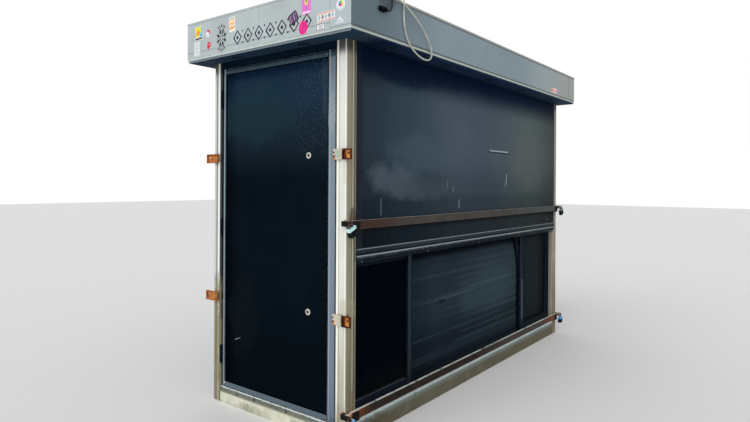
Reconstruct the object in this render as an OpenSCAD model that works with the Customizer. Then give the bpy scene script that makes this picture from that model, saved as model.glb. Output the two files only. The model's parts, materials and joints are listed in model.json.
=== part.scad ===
// Street kiosk: a hollow steel and aluminium stall on four corner posts, with a
// door in one end, a serving flap and a roller shutter along the front, and a
// boxed flat roof. X runs along the counter, Y through the depth, Z up from the
// ground. The origin is the centre of the base.

/* [Body] */
// Distance between corner post centres along the counter
post_pitch_x = 3200; // [2800:10:4200]
// Distance between corner post centres through the depth
post_pitch_y = 1130; // [1000:10:1800]
// Side of a square corner post
post_w = 80; // [70:1:100]
// Height of the posts and of the underside of the roof box
soffit_z = 2325; // [2250:5:2600]
// Wall thickness of a hollow post
post_wall = 4; // [3:0.5:6]
// Depth of the framed panels, front to back
frame_d = 40; // [30:1:50]

/* [Roof] */
// Height of the fascia boards
fascia_h = 258; // [180:1:340]
// Overhang of the roof box past the door end and the far end
eaves_end = 130; // [100:1:220]
// Overhang of the roof box past the front and the rear
eaves_side = 134; // [100:1:200]
// Thickness of a fascia board
fascia_t = 24; // [16:1:40]
// Fall of the roof deck from front to rear
roof_fall = 24; // [10:1:50]

/* [Front] */
// Height of the top of the cill above the ground
cill_h = 130; // [100:1:160]
// Height of the counter rail's front lip
counter_z = 1072; // [950:1:1150]
// Left edge of the roller shutter opening
shutter_left = -915; // [-1050:1:-800]
// Right edge of the roller shutter opening
shutter_right = 840; // [700:1:950]
// Pitch of the shutter laths
lath_pitch = 75; // [60:1:90]
// Height of a locking bar's face
bar_h = 50; // [40:1:60]
// Height of the upper locking bar's centre line
upper_bar_z = 1264; // [1200:1:1400]
// Height of the lower locking bar's centre line
lower_bar_z = 173; // [165:1:210]

/* [Door] */
// Height of the stone step under the door
step_h = 76; // [60:1:90]
// Height of the threshold rail above the step
threshold_h = 34; // [25:1:45]
// Clear gap round the moving leaf
door_gap = 7; // [6:0.5:10]
// Thickness of the door leaf
leaf_t = 40; // [34:1:46]
// Diameter of a hinge pin
hinge_pin_d = 8; // [6:0.5:10]

/* [Hidden] */
$fn = 48;

// Outer and inner faces of the posts
face_x = (post_pitch_x + post_w) / 2;
face_y = (post_pitch_y + post_w) / 2;
inner_x = face_x - post_w;
inner_y = face_y - post_w;
// Framed panels stand this far behind the outer faces of the posts
set_back = 40;
panel_y = face_y - set_back;
seat = 0.3;

// Colours of the plain model
cream = [0.80, 0.77, 0.70];
slate = [0.20, 0.26, 0.28];
blue_grey = [0.47, 0.55, 0.63];
near_black = [0.10, 0.12, 0.16];
zinc = [0.62, 0.65, 0.67];
rust = [0.45, 0.28, 0.20];
silver = [0.70, 0.75, 0.78];

// General shapes

// Box given by its low and high corners
module block(low, high) {
    translate(low)
        cube(high - low);
}

// Rectangular frame in the X-Z plane with its own stile and rail widths
module frame_xz(x0, x1, z0, z1, y0, y1, left, right, bottom, top) {
    difference() {
        block([x0, y0, z0], [x1, y1, z1]);
        block([x0 + left, y0 - 1, z0 + bottom], [x1 - right, y1 + 1, z1 - top]);
    }
}

// Rectangular frame in the Y-Z plane
module frame_yz(y0, y1, z0, z1, x0, x1, low_stile, high_stile, bottom, top) {
    difference() {
        block([x0, y0, z0], [x1, y1, z1]);
        block([x0 - 1, y0 + low_stile, z0 + bottom], [x1 + 1, y1 - high_stile, z1 - top]);
    }
}

// Extrudes a Y-Z outline along X
module along_x(x0, x1) {
    translate([x0, 0, 0])
        rotate([90, 0, 90])
            linear_extrude(x1 - x0)
                children();
}

// Corner posts

rib_w = 17;
band_w = 22;
face_step = 2;
groove_w = 5;
groove_d = 5;
post_corner_r = 6;

// Recessed flat and groove of one outer face
module post_face_cuts() {
    half = post_w / 2;
    translate([-half - 1, -half + band_w])
        square([face_step + 1, post_w - band_w - rib_w]);
    translate([-half - 1, half - rib_w - groove_w])
        square([groove_d + 1, groove_w]);
}

// Section of the near left post, with a rib at the inner edge of each outer face
module post_section() {
    half = post_w / 2;
    difference() {
        union() {
            translate([-half + post_corner_r, -half])
                square([post_w - post_corner_r, post_w]);
            translate([-half, -half + post_corner_r])
                square([post_w, post_w - post_corner_r]);
            translate([-half + post_corner_r, -half + post_corner_r])
                circle(post_corner_r);
        }
        post_face_cuts();
        mirror([1, -1, 0])
            post_face_cuts();
        square(post_w - 2 * (groove_d + post_wall), center = true);
    }
}

module corner_posts() {
    color(cream)
        for (sx = [-1, 1])
            for (sy = [-1, 1])
                translate([sx * post_pitch_x / 2, sy * post_pitch_y / 2, 0])
                    scale([-sx, -sy, 1])
                        linear_extrude(soffit_z)
                            post_section();
}

// Rails under the roof box

top_rail_h = 40;
rail_wall = 4;
end_face = face_x - 2;

module top_rails() {
    low = soffit_z - top_rail_h;
    color(near_black) {
        for (side = [-1, 1])
            scale([1, side, 1])
                difference() {
                    block([-inner_x, inner_y, low], [inner_x, panel_y, soffit_z]);
                    block([-inner_x - 1, inner_y + rail_wall, low + rail_wall],
                          [inner_x + 1, panel_y - rail_wall, soffit_z - rail_wall]);
                }
        for (side = [-1, 1])
            scale([side, 1, 1])
                difference() {
                    block([end_face - leaf_t, -inner_y, low], [end_face, inner_y, soffit_z]);
                    block([end_face - leaf_t + rail_wall, -inner_y - 1, low + rail_wall],
                          [end_face - rail_wall, inner_y + 1, soffit_z - rail_wall]);
                }
    }
}

// Base

cill_nose_r = 26;
cill_front = face_y - 2;
cill_wall = 5;

// Y-Z outline of the cill with its rounded outer top edge
module cill_section() {
    difference() {
        union() {
            translate([-cill_front, 0])
                square([cill_front - inner_y, cill_h - cill_nose_r]);
            translate([-cill_front + cill_nose_r, 0])
                square([cill_front - inner_y - cill_nose_r, cill_h]);
            translate([-cill_front + cill_nose_r, cill_h - cill_nose_r])
                circle(cill_nose_r);
        }
        translate([-cill_front + cill_wall, -1])
            square([cill_front - inner_y - 2 * cill_wall, cill_h - cill_nose_r + 1 - cill_wall]);
    }
}

module front_cill() {
    color(zinc)
        along_x(-inner_x, inner_x)
            cill_section();
}

module rear_cill() {
    color(zinc)
        mirror([0, 1, 0])
            along_x(-inner_x, inner_x)
                cill_section();
}

step_proud = 4;

module door_step() {
    color(cream)
        block([-face_x - step_proud, -inner_y, 0], [-inner_x, inner_y, step_h]);
}

module far_step() {
    color(cream)
        block([inner_x, -inner_y, 0], [face_x + step_proud, inner_y, step_h]);
}

floor_t = 24;
joist_w = 60;
joist_count = 5;

module floor_joists() {
    span = 2 * inner_x - joist_w - 200;
    color(near_black)
        for (n = [0 : joist_count - 1])
            translate([-span / 2 + n * span / (joist_count - 1) - joist_w / 2, -inner_y, 0])
                cube([joist_w, 2 * inner_y, step_h]);
}

module floor_panel() {
    color([0.35, 0.33, 0.30])
        block([-inner_x, -inner_y, step_h], [inner_x, inner_y, step_h + floor_t]);
}

// Door end

leaf_bottom = step_h + threshold_h + door_gap;
leaf_top = soffit_z - top_rail_h - door_gap;
leaf_low_y = -inner_y + door_gap;
leaf_high_y = inner_y - 19;
leaf_x = -end_face;
lock_stile = 62;
hinge_stile = 24;
leaf_rail = 36;
leaf_foot = 30;

threshold_lip = 5;

module door_threshold() {
    color(blue_grey) {
        for (side = [-1, 1])
            scale([side, 1, 1])
                difference() {
                    block([inner_x, -inner_y, step_h], [face_x, inner_y, step_h + threshold_h]);
                    block([inner_x - 1, -inner_y - 1, step_h + floor_t],
                          [inner_x + 16, inner_y + 1, step_h + threshold_h + 1]);
                    block([face_x - 6, -inner_y - 1, step_h - 1],
                          [face_x + 1, inner_y + 1, step_h + threshold_h - threshold_lip]);
                }
    }
}

stop_w = 32;
stop_t = 26;
stop_x = -end_face + leaf_t + 6;

module door_frame() {
    low = step_h + threshold_h;
    high = soffit_z - top_rail_h;
    color(near_black)
        difference() {
            block([stop_x, -inner_y, low], [stop_x + stop_t, inner_y, high]);
            block([stop_x - 1, -inner_y + stop_w, low - 1],
                  [stop_x + stop_t + 1, inner_y - stop_w, high - stop_w]);
        }
}

module door_leaf_frame() {
    color(blue_grey)
        difference() {
            frame_yz(leaf_low_y, leaf_high_y, leaf_bottom, leaf_top, leaf_x, leaf_x + leaf_t,
                     lock_stile, hinge_stile, leaf_foot, leaf_rail);
            door_panel_space(seat);
        }
}

panel_in = 5;
panel_bite = 8;
panel_t = 22;

// Room for the panel, which is let into a rebate round the leaf
module door_panel_space(clear) {
    block([leaf_x + panel_in - clear, leaf_low_y + lock_stile - panel_bite - clear,
           leaf_bottom + leaf_foot - panel_bite - clear],
          [leaf_x + panel_in + panel_t + clear, leaf_high_y - hinge_stile + panel_bite + clear,
           leaf_top - leaf_rail + panel_bite + clear]);
}

lock_y = -297;
lock_heights = [728, 1668];
lock_r = 19;
keyhole_r = 9;
lock_proud = 6;

module door_panel() {
    color(near_black)
        difference() {
            door_panel_space(0);
            for (z = lock_heights)
                translate([leaf_x, lock_y, z])
                    rotate([0, 90, 0])
                        cylinder(r = keyhole_r + 2 + seat, h = leaf_t);
        }
}

module door_locks() {
    color(silver)
        for (z = lock_heights)
            translate([leaf_x + panel_in, lock_y, z])
                rotate([0, -90, 0])
                    rotate_extrude()
                        polygon([[0, -panel_t], [keyhole_r + 2, -panel_t], [keyhole_r + 2, 0], [lock_r, 0],
                                 [lock_r, 3], [lock_r - 3, lock_proud], [keyhole_r + 3, lock_proud],
                                 [keyhole_r, 3], [0, 4]]);
}

// Hinges in the gap beside the rear post

hinge_heights = [330, 1200, 2070];
hinge_x = leaf_x - 10;
hinge_y = inner_y - 9.5;
barrel_r = 7.5;
hinge_h = 120;
knuckle_gap = 0.6;
pin_clear = 0.3;
plate_t = 3;

module door_hinge_leaves() {
    color(near_black)
        for (z = hinge_heights)
            translate([0, 0, z - hinge_h / 6 + knuckle_gap]) {
                difference() {
                    union() {
                        translate([hinge_x, hinge_y, 0])
                            cylinder(r = barrel_r, h = hinge_h / 3 - 2 * knuckle_gap);
                        block([hinge_x, leaf_high_y, 0],
                              [leaf_x + leaf_t - 4, leaf_high_y + plate_t, hinge_h / 3 - 2 * knuckle_gap]);
                    }
                    translate([hinge_x, hinge_y, -1])
                        cylinder(d = hinge_pin_d + 2 * pin_clear, h = hinge_h);
                }
            }
}

module door_hinge_posts() {
    color(near_black)
        for (z = hinge_heights)
            translate([0, 0, z - hinge_h / 2]) {
                for (lift = [0, 2 * hinge_h / 3])
                    translate([0, 0, lift]) {
                        translate([hinge_x, hinge_y, 0])
                            cylinder(r = barrel_r, h = hinge_h / 3);
                        block([hinge_x, inner_y - plate_t, 0],
                              [leaf_x + leaf_t - 4, inner_y, hinge_h / 3]);
                    }
                translate([hinge_x, hinge_y, 1])
                    cylinder(d = hinge_pin_d, h = hinge_h - 2);
            }
}

// Hasps

hasp_heights = [719, 1668];
hasp_h = 62;
hasp_t = 5;
hasp_pad = 7.5;
hasp_low_y = -572;
hasp_high_y = -506;
bolt_d = 9;

// Plate bolted to the door's edge, standing off the post that it laps
module door_hasps() {
    pad_x = leaf_x - hasp_pad;
    color([0.70, 0.66, 0.58])
        for (z = hasp_heights)
            translate([0, 0, z])
                difference() {
                    union() {
                        block([pad_x - hasp_t, hasp_low_y, -hasp_h / 2], [pad_x, hasp_high_y, hasp_h / 2]);
                        block([pad_x - 1, leaf_low_y + 0.5, -hasp_h / 2], [leaf_x, hasp_high_y, hasp_h / 2]);
                    }
                    for (side = [-1, 1])
                        translate([pad_x - hasp_t - 1, hasp_high_y - bolt_d / 2 - 1, side * 12])
                            rotate([0, 90, 0])
                                cylinder(d = bolt_d - 3, h = hasp_t + hasp_pad + 2);
                }
}

tray_wall = 4;
tray_d = 15;
tray_stand = 5;
tray_foot_y = [586, 603];
tray_hole_d = 14;

// Shallow steel tray on the end face of a post, from one Y to another; the hole takes a padlock
module hasp_tray(z, inner, outer) {
    back_x = -face_x - tray_stand;
    translate([0, 0, z])
        difference() {
            union() {
                block([back_x - tray_d, -outer, -hasp_h / 2], [back_x, -inner, hasp_h / 2]);
                block([back_x - 1, -tray_foot_y[1], -hasp_h / 2 + 8],
                      [-face_x, -tray_foot_y[0], hasp_h / 2 - 8]);
            }
            block([back_x - tray_d - 1, -outer + tray_wall, -hasp_h / 2 + tray_wall],
                  [back_x - tray_wall, -inner - tray_wall, hasp_h / 2 - tray_wall]);
            translate([back_x - tray_wall - 1, -outer + 22, 6])
                rotate([0, 90, 0])
                    cylinder(d = tray_hole_d, h = tray_wall + 2);
        }
}

module hasp_boxes() {
    color(rust)
        for (z = hasp_heights)
            hasp_tray(z, 586, 645);
}

module rear_brackets() {
    color(rust)
        for (z = hasp_heights)
            scale([1, -1, 1])
                hasp_tray(z, 552, 668);
}

// Serving flap

flap_left = -inner_x + 3;
flap_right = inner_x - 5;
flap_lap = 11;
flap_bottom = counter_z + 2;
flap_top = soffit_z - 13;
flap_face = -face_y - 5;
flap_back = -panel_y;
skin_t = 3;

module flap_skin() {
    color(slate)
        difference() {
            union() {
                block([flap_left, flap_face, flap_bottom], [flap_right, flap_back, flap_top]);
                block([flap_left, flap_face, flap_bottom],
                      [flap_right + flap_lap, flap_face + skin_t, flap_top]);
            }
            block([flap_left + skin_t, flap_face + skin_t, flap_bottom + skin_t],
                  [flap_right - skin_t, flap_back + 1, flap_top - skin_t]);
        }
}

flap_tube = 36;
flap_bars = 3;

module flap_frame() {
    x0 = flap_left + skin_t;
    x1 = flap_right - skin_t;
    y0 = flap_face + skin_t;
    color(near_black) {
        frame_xz(x0, x1, flap_bottom + skin_t, flap_top - skin_t, y0, flap_back,
                 flap_tube, flap_tube, flap_tube, flap_tube);
        for (n = [1 : flap_bars])
            translate([x0 + n * (x1 - x0) / (flap_bars + 1) - flap_tube / 2, y0,
                       flap_bottom + skin_t + flap_tube])
                cube([flap_tube, flap_back - y0, flap_top - flap_bottom - 2 * (skin_t + flap_tube)]);
    }
}

flap_rail_h = 44;
flap_rail_t = 5;
bead_r = 4;

module flap_bottom_rail() {
    color(slate)
        along_x(flap_left, flap_right + flap_lap) {
            translate([flap_face - flap_rail_t, flap_bottom])
                square([flap_rail_t, flap_rail_h]);
            translate([flap_face - flap_rail_t + bead_r, flap_bottom + flap_rail_h])
                intersection() {
                    circle(bead_r);
                    translate([-bead_r, -bead_r])
                        square([2 * bead_r - 3, 2 * bead_r]);
                }
        }
}

flap_hinge_r = 5;
strip_t = 3;
strip_w = 28;

module flap_hinge() {
    hinge_z = (flap_top + soffit_z) / 2;
    color(near_black)
        along_x(flap_left, flap_right) {
            translate([flap_face + 4, hinge_z])
                circle((soffit_z - flap_top) / 2 - seat);
            translate([flap_face + 4, soffit_z - strip_t])
                square([strip_w, strip_t]);
            translate([flap_face + 4, flap_top])
                square([strip_w, strip_t]);
        }
}

// Counter rail

counter_nose = 12;

module counter_rail() {
    color(slate) {
        along_x(-inner_x, inner_x)
            polygon([[-panel_y, counter_z - 42], [-inner_y, counter_z - 42], [-inner_y, counter_z],
                     [-panel_y, counter_z], [-face_y - counter_nose + 3, counter_z],
                     [-face_y - counter_nose, counter_z - 3], [-face_y - counter_nose, counter_z - 12],
                     [-face_y - counter_nose + 8, counter_z - 16], [-face_y + 2, counter_z - 34]]);
        along_x(inner_x - 1, flap_right + flap_lap)
            polygon([[-face_y - seat, counter_z], [-face_y - counter_nose + 3, counter_z],
                     [-face_y - counter_nose, counter_z - 3], [-face_y - counter_nose, counter_z - 12],
                     [-face_y - counter_nose + 8, counter_z - 16], [-face_y - seat, counter_z - 26]]);
    }
}

// Lower front: panels each side of the shutter

counter_under = counter_z - 42;
rail_top = 215;
guide_w_left = 48;
guide_w_right = 36;
guide_d = 60;
guide_back = -panel_y + guide_d;

module front_lower_rails() {
    color([0.16, 0.20, 0.28]) {
        block([-inner_x, -panel_y, cill_h], [shutter_left - guide_w_left, -inner_y, rail_top]);
        block([shutter_right + guide_w_right, -panel_y, cill_h], [inner_x, -inner_y, rail_top]);
    }
}

jamb_w = 13;
jamb_front = face_y - 6;

// Pale beads in the corners between the posts and the lower front
module jamb_trims() {
    color(cream)
        for (side = [-1, 1])
            scale([side, 1, 1])
                translate([0, 0, cill_h])
                    linear_extrude(counter_under - cill_h)
                        polygon([[-inner_x, -panel_y], [-inner_x + jamb_w, -panel_y],
                                 [-inner_x + jamb_w, -jamb_front + 4], [-inner_x + jamb_w - 4, -jamb_front],
                                 [-inner_x, -jamb_front]]);
}

left_frame_edge = 22;
right_frame_left = 74;
right_frame_right = 108;
right_frame_bottom = 26;
right_frame_top = 18;
pane_t = 12;
pane_in = 10;
pane_bite = 6;

module left_pane_space(clear) {
    block([-inner_x + left_frame_edge - pane_bite - clear, -panel_y + pane_in - clear,
           rail_top + left_frame_edge - pane_bite - clear],
          [shutter_left - guide_w_left - left_frame_edge + pane_bite + clear,
           -panel_y + pane_in + pane_t + clear,
           counter_under - left_frame_edge + pane_bite + clear]);
}

module right_pane_space(clear) {
    block([shutter_right + guide_w_right + right_frame_left - pane_bite - clear, -panel_y + pane_in - clear,
           rail_top + right_frame_bottom - pane_bite - clear],
          [inner_x - right_frame_right + pane_bite + clear, -panel_y + pane_in + pane_t + clear,
           counter_under - right_frame_top + pane_bite + clear]);
}

module front_panel_frames() {
    color(slate) {
        difference() {
            frame_xz(-inner_x, shutter_left - guide_w_left, rail_top, counter_under, -panel_y, -inner_y,
                     left_frame_edge, left_frame_edge, left_frame_edge, left_frame_edge);
            left_pane_space(seat);
        }
        difference() {
            union() {
                frame_xz(shutter_right + guide_w_right, inner_x, rail_top, counter_under, -panel_y, -inner_y,
                         right_frame_left, right_frame_right, right_frame_bottom, right_frame_top);
                block([shutter_right + guide_w_right, -panel_y - 6, rail_top],
                      [shutter_right + guide_w_right + 30, -panel_y, counter_under]);
            }
            right_pane_space(seat);
        }
    }
}

module front_panes() {
    color(near_black) {
        left_pane_space(0);
        right_pane_space(0);
    }
}

// Roller shutter

curtain_y = -panel_y + 26;
lath_bulge = 4;
lath_t = 3;
lath_gap = 0.6;
slot_in = 14;
slot_half = 13;
lean_start = 700;
lath_first = cill_h + 58;
// Backward tilt of each lath, from the lowest up: the top of the curtain leans back to its roll
lath_tilts = [0, 0, 0, 0, 0, 0, 0, 2.5, 6, 9.5, 11, 6, 0];
lath_count = len(lath_tilts);

// Lower end of a lath in Y and Z: each stands on the one below
function chain(n) = n == 0 ? [curtain_y, lath_first]
    : chain(n - 1) + lath_pitch * [sin(lath_tilts[n - 1]), cos(lath_tilts[n - 1])];
curtain_top = chain(lath_count);

module shutter_guides() {
    color(slate) {
        difference() {
            block([shutter_left - guide_w_left, -panel_y, cill_h],
                  [shutter_left, guide_back, counter_under]);
            block([shutter_left - slot_in, curtain_y - slot_half, cill_h - 1],
                  [shutter_left + 1, curtain_y + slot_half, counter_under + 1]);
            block([shutter_left - slot_in, curtain_y - slot_half, lean_start],
                  [shutter_left + 1, guide_back + 1, counter_under + 1]);
        }
        difference() {
            block([shutter_right, -panel_y, cill_h],
                  [shutter_right + guide_w_right, guide_back, counter_under]);
            block([shutter_right - 1, curtain_y - slot_half, cill_h - 1],
                  [shutter_right + slot_in, curtain_y + slot_half, counter_under + 1]);
            block([shutter_right - 1, curtain_y - slot_half, lean_start],
                  [shutter_right + slot_in, guide_back + 1, counter_under + 1]);
        }
    }
}

lath_steps = 6;

// Bowed outline of one lath, hooked back at its lower edge
function lath_outer(h) = [for (n = [0 : lath_steps]) let (u = n / lath_steps)
    [-lath_bulge * sin(180 * u), u * h]];
function lath_inner(h) = [for (n = [lath_steps : -1 : 0]) let (u = n / lath_steps)
    [lath_t - lath_bulge * sin(180 * u), u * h]];

module shutter_laths() {
    h = lath_pitch - lath_gap;
    color(slate)
        for (n = [0 : lath_count - 1]) {
            translate([0, chain(n)[0], chain(n)[1]])
                rotate([-lath_tilts[n], 0, 0])
                    along_x(shutter_left - slot_in + 3, shutter_right + slot_in - 3)
                        polygon(concat(lath_outer(h), lath_inner(h)));
        }
}

module shutter_bottom_bar() {
    color(slate)
        along_x(shutter_left - slot_in + 3, shutter_right + slot_in - 3) {
            translate([curtain_y - 9, cill_h])
                square([18, lath_first - cill_h - lath_gap]);
        }
}

box_wall = 3;
coil_r = 74;
axle_r = 15;
coil_y = curtain_top[0] + lath_t + seat + coil_r;
coil_z = curtain_top[1];
box_back = coil_y + coil_r + 14;
box_top = coil_z + coil_r + 10;

module shutter_box() {
    x0 = shutter_left - guide_w_left;
    x1 = shutter_right + guide_w_right;
    color(zinc)
        difference() {
            block([x0, -inner_y, counter_under], [x1, box_back, box_top]);
            block([x0 + box_wall, -inner_y + box_wall, counter_under - 1],
                  [x1 - box_wall, box_back - box_wall, box_top - box_wall]);
            translate([x0 - 1, coil_y, coil_z])
                rotate([0, 90, 0])
                    cylinder(r = axle_r + seat, h = x1 - x0 + 2);
        }
}

module shutter_roll() {
    x0 = shutter_left - guide_w_left;
    x1 = shutter_right + guide_w_right;
    color(slate) {
        translate([shutter_left - slot_in + 3, coil_y, coil_z])
            rotate([0, 90, 0])
                cylinder(r = coil_r, h = shutter_right - shutter_left + 2 * slot_in - 6);
        translate([x0 - 10, coil_y, coil_z])
            rotate([0, 90, 0])
                cylinder(r = axle_r, h = x1 - x0 + 20);
    }
}

// Locking bars

bar_back = flap_face - seat;
bar_t = 18;
bar_front = bar_back - bar_t;
bar_wall = 4;
bar_end = inner_x + 57;
tongue_back = bar_front + 14;
tongue_low = 8;
tongue_high = 20;
lug_x = bar_end + 43;
lug_t = 3;
lug_out = 31;
lug_low = -6;
lug_high = 24;
lug_corner = 6;
eye_r = 8.5;
eye_y = bar_front - 17;
eye_lift = 8;

// Outline in Y and Z of a plate with an eye for a padlock, from the given plane out to its nose
module eye_plate(back) {
    nose = bar_front - lug_out;
    difference() {
        polygon([[back, lug_low], [nose + lug_corner, lug_low], [nose, lug_low + lug_corner],
                 [nose, lug_high - lug_corner], [nose + lug_corner, lug_high], [back, lug_high]]);
        translate([eye_y, eye_lift])
            circle(eye_r);
    }
}

// Tongue at one end of a bar, with the plate that the padlock locks to the post
module bar_tongue() {
    block([bar_end - bar_wall, bar_front, tongue_low], [lug_x, tongue_back, tongue_high]);
    along_x(lug_x - lug_t, lug_x)
        eye_plate(tongue_back);
}

// Channel bar across the front
module lock_bar(z) {
    translate([0, 0, z]) {
        difference() {
            block([-bar_end, bar_front, -bar_h / 2], [bar_end, bar_back, bar_h / 2]);
            block([-bar_end + bar_wall, bar_front + bar_wall, -bar_h / 2 + bar_wall],
                  [bar_end - bar_wall, bar_back + 1, bar_h / 2 - bar_wall]);
        }
        for (side = [-1, 1])
            scale([side, 1, 1])
                bar_tongue();
    }
}

module upper_lock_bar() {
    color(rust)
        lock_bar(upper_bar_z);
}

module lower_lock_bar() {
    color(rust)
        lock_bar(lower_bar_z);
}

staple_x = lug_x + 1;
staple_back = -face_y + 21;

// Staple on a post's outer face, which the padlock passes through
module staple() {
    along_x(staple_x, staple_x + lug_t)
        eye_plate(staple_back);
    block([face_x, -face_y + post_corner_r, lug_low], [staple_x + lug_t, staple_back, lug_high]);
}

cradle_in = inner_x - 12;
cradle_out = inner_x + 52;
cradle_foot = cradle_out - 16;
cradle_t = 3;
cradle_low = -34;
cradle_high = 22;

// Open-topped cradle on a post's front face, which the bar drops into
module cradle() {
    front = bar_front - seat - cradle_t;
    floor_z = -bar_h / 2 - seat;
    post_face = -face_y + face_step;
    block([cradle_in, front, cradle_low], [cradle_out, front + cradle_t, cradle_high]);
    block([cradle_in, front, cradle_low], [cradle_out, flap_face - 1, floor_z]);
    block([cradle_foot, front, cradle_low], [cradle_out, post_face, floor_z]);
    block([cradle_foot, bar_back + seat, cradle_low], [cradle_out, post_face, cradle_high]);
}

module bar_staples() {
    color([0.12, 0.12, 0.13])
        for (z = [upper_bar_z, lower_bar_z])
            for (side = [-1, 1])
                translate([0, 0, z])
                    scale([side, 1, 1]) {
                        staple();
                        cradle();
                    }
}

// Padlocks

shackle_d = 8;
shackle_w = 38;
shackle_leg = 7;
lock_w = 60;
lock_d = 25;
cap_band_h = 17;
lock_h = 38;
lock_corner = 8;
bow_r = (shackle_w - shackle_d) / 2;

// Each is given by its side, the height of its bar and its swing along the bar
padlocks = [
    [-1, upper_bar_z, -25],
    [1, upper_bar_z, -20],
    [-1, lower_bar_z, -22],
    [1, lower_bar_z, -4]
];

// How far the top of a bow sinks below the middle of the eyes until it rests on their lower edges
eye_reach = lug_t + (staple_x - lug_x) / 2;
bow_in = bow_r - shackle_d / 2;
function sink(swing) = eye_r - seat - bow_r * cos(swing)
    + sqrt(pow(bow_in, 2) - pow(bow_r * sin(abs(swing)) + eye_reach, 2));

// Puts a padlock in place, with the origin at the centre of its shackle's bow
module hang(lock) {
    translate([lock[0] * (lug_x + staple_x) / 2, eye_y, lock[1] + eye_lift - sink(lock[2])])
        rotate([0, lock[2], 0])
            translate([0, 0, -bow_r])
                children();
}

// Bores for the shackle's legs
module leg_bores(low, high) {
    for (side = [-1, 1])
        translate([side * bow_r, 0, low])
            cylinder(d = shackle_d + 2 * seat, h = high - low);
}

module padlock_bodies() {
    top = -shackle_leg - cap_band_h;
    color([0.10, 0.11, 0.14])
        for (lock = padlocks)
            hang(lock)
                difference() {
                    translate([0, lock_d / 2, top - lock_h])
                        rotate([90, 0, 0])
                            linear_extrude(lock_d)
                                union() {
                                    translate([-lock_w / 2, lock_corner])
                                        square([lock_w, lock_h - lock_corner]);
                                    translate([-lock_w / 2 + lock_corner, 0])
                                        square([lock_w - 2 * lock_corner, lock_h]);
                                    for (side = [-1, 1])
                                        translate([side * (lock_w / 2 - lock_corner), lock_corner])
                                            circle(lock_corner);
                                }
                    leg_bores(top - 8, top + 1);
                }
}

module padlock_caps() {
    color([0.45, 0.70, 0.85])
        for (lock = padlocks)
            hang(lock)
                difference() {
                    translate([-lock_w / 2, -lock_d / 2, -shackle_leg - cap_band_h])
                        cube([lock_w, lock_d, cap_band_h]);
                    leg_bores(-shackle_leg - cap_band_h - 1, -shackle_leg + 1);
                }
}

module padlock_shackles() {
    depth = shackle_leg + cap_band_h + 7;
    color(silver)
        for (lock = padlocks)
            hang(lock) {
                rotate([90, 0, 0])
                    rotate_extrude(angle = 180)
                        translate([bow_r, 0])
                            circle(d = shackle_d);
                for (side = [-1, 1])
                    translate([side * bow_r, 0, -depth])
                        cylinder(d = shackle_d, h = depth);
            }
}

// Rear wall and far end

mullion_w = 50;
rear_stile = 30;
mullion_x = inner_x / 3;
rear_bays = [[-inner_x + rear_stile, -mullion_x - mullion_w / 2],
             [-mullion_x + mullion_w / 2, mullion_x - mullion_w / 2],
             [mullion_x + mullion_w / 2, inner_x - rear_stile]];
rear_low = cill_h;
rear_high = soffit_z - top_rail_h;

module rear_pane_space(bay, clear) {
    block([bay[0] - pane_bite - clear, panel_y - pane_in - pane_t - clear,
           rear_low + leaf_rail - pane_bite - clear],
          [bay[1] + pane_bite + clear, panel_y - pane_in + clear, rear_high - leaf_rail + pane_bite + clear]);
}

module rear_frame() {
    color(blue_grey)
        difference() {
            block([-inner_x, inner_y, rear_low], [inner_x, panel_y, rear_high]);
            for (bay = rear_bays) {
                block([bay[0], inner_y - 1, rear_low + leaf_rail],
                      [bay[1], panel_y + 1, rear_high - leaf_rail]);
                rear_pane_space(bay, seat);
            }
        }
}

module rear_panes() {
    color(near_black)
        for (bay = rear_bays)
            rear_pane_space(bay, 0);
}

far_low = step_h + threshold_h;
far_high = soffit_z - top_rail_h;

module far_pane_space(clear) {
    block([end_face - panel_in - panel_t - clear, -inner_y + lock_stile - panel_bite - clear,
           far_low + leaf_rail - panel_bite - clear],
          [end_face - panel_in + clear, inner_y - lock_stile + panel_bite + clear,
           far_high - leaf_rail + panel_bite + clear]);
}

module far_frame() {
    color(blue_grey)
        difference() {
            frame_yz(-inner_y, inner_y, far_low, far_high, end_face - leaf_t, end_face,
                     lock_stile, lock_stile, leaf_rail, leaf_rail);
            far_pane_space(seat);
        }
}

module far_pane() {
    color(near_black)
        far_pane_space(0);
}

// Roof box

roof_x = face_x + eaves_end;
roof_y = face_y + eaves_side;
soffit_t = 12;
soffit_in = 8;
corner_return = 153;
trim_h = 20;
cap_h = 12;
cap_proud = 2;
box_low = soffit_z + soffit_t;
box_high = box_low + fascia_h;
mitre_w = 2;

light_r = 34;
light_drop = 4;
light_lip = 6;
light_pitch = 650;
end_light_y = 300;
light_line_x = face_x + (eaves_end - fascia_t) / 2;
light_line_y = face_y + (eaves_side - fascia_t) / 2;
light_spots = concat(
    [for (n = [-2 : 2]) for (side = [-1, 1]) [n * light_pitch, side * light_line_y]],
    [for (y = [-end_light_y, end_light_y]) for (side = [-1, 1]) [side * light_line_x, y]]
);

// Boards under the roof box, mitred at the corners
module soffit_panel() {
    color([0.35, 0.38, 0.40])
        difference() {
            block([-roof_x + soffit_in, -roof_y + soffit_in, soffit_z],
                  [roof_x - soffit_in, roof_y - soffit_in, box_low]);
            for (spot = light_spots)
                translate([spot[0], spot[1], soffit_z - 1])
                    cylinder(r = light_r - light_lip + seat, h = soffit_t + 2);
            for (sx = [-1, 1])
                for (sy = [-1, 1])
                    translate([sx * face_x, sy * face_y, soffit_z])
                        rotate(atan2(sy * (eaves_side - soffit_in), sx * (eaves_end - soffit_in)))
                            translate([0, -mitre_w / 2, -1])
                                cube([eaves_end + eaves_side, mitre_w, mitre_w + 1]);
        }
}

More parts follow.
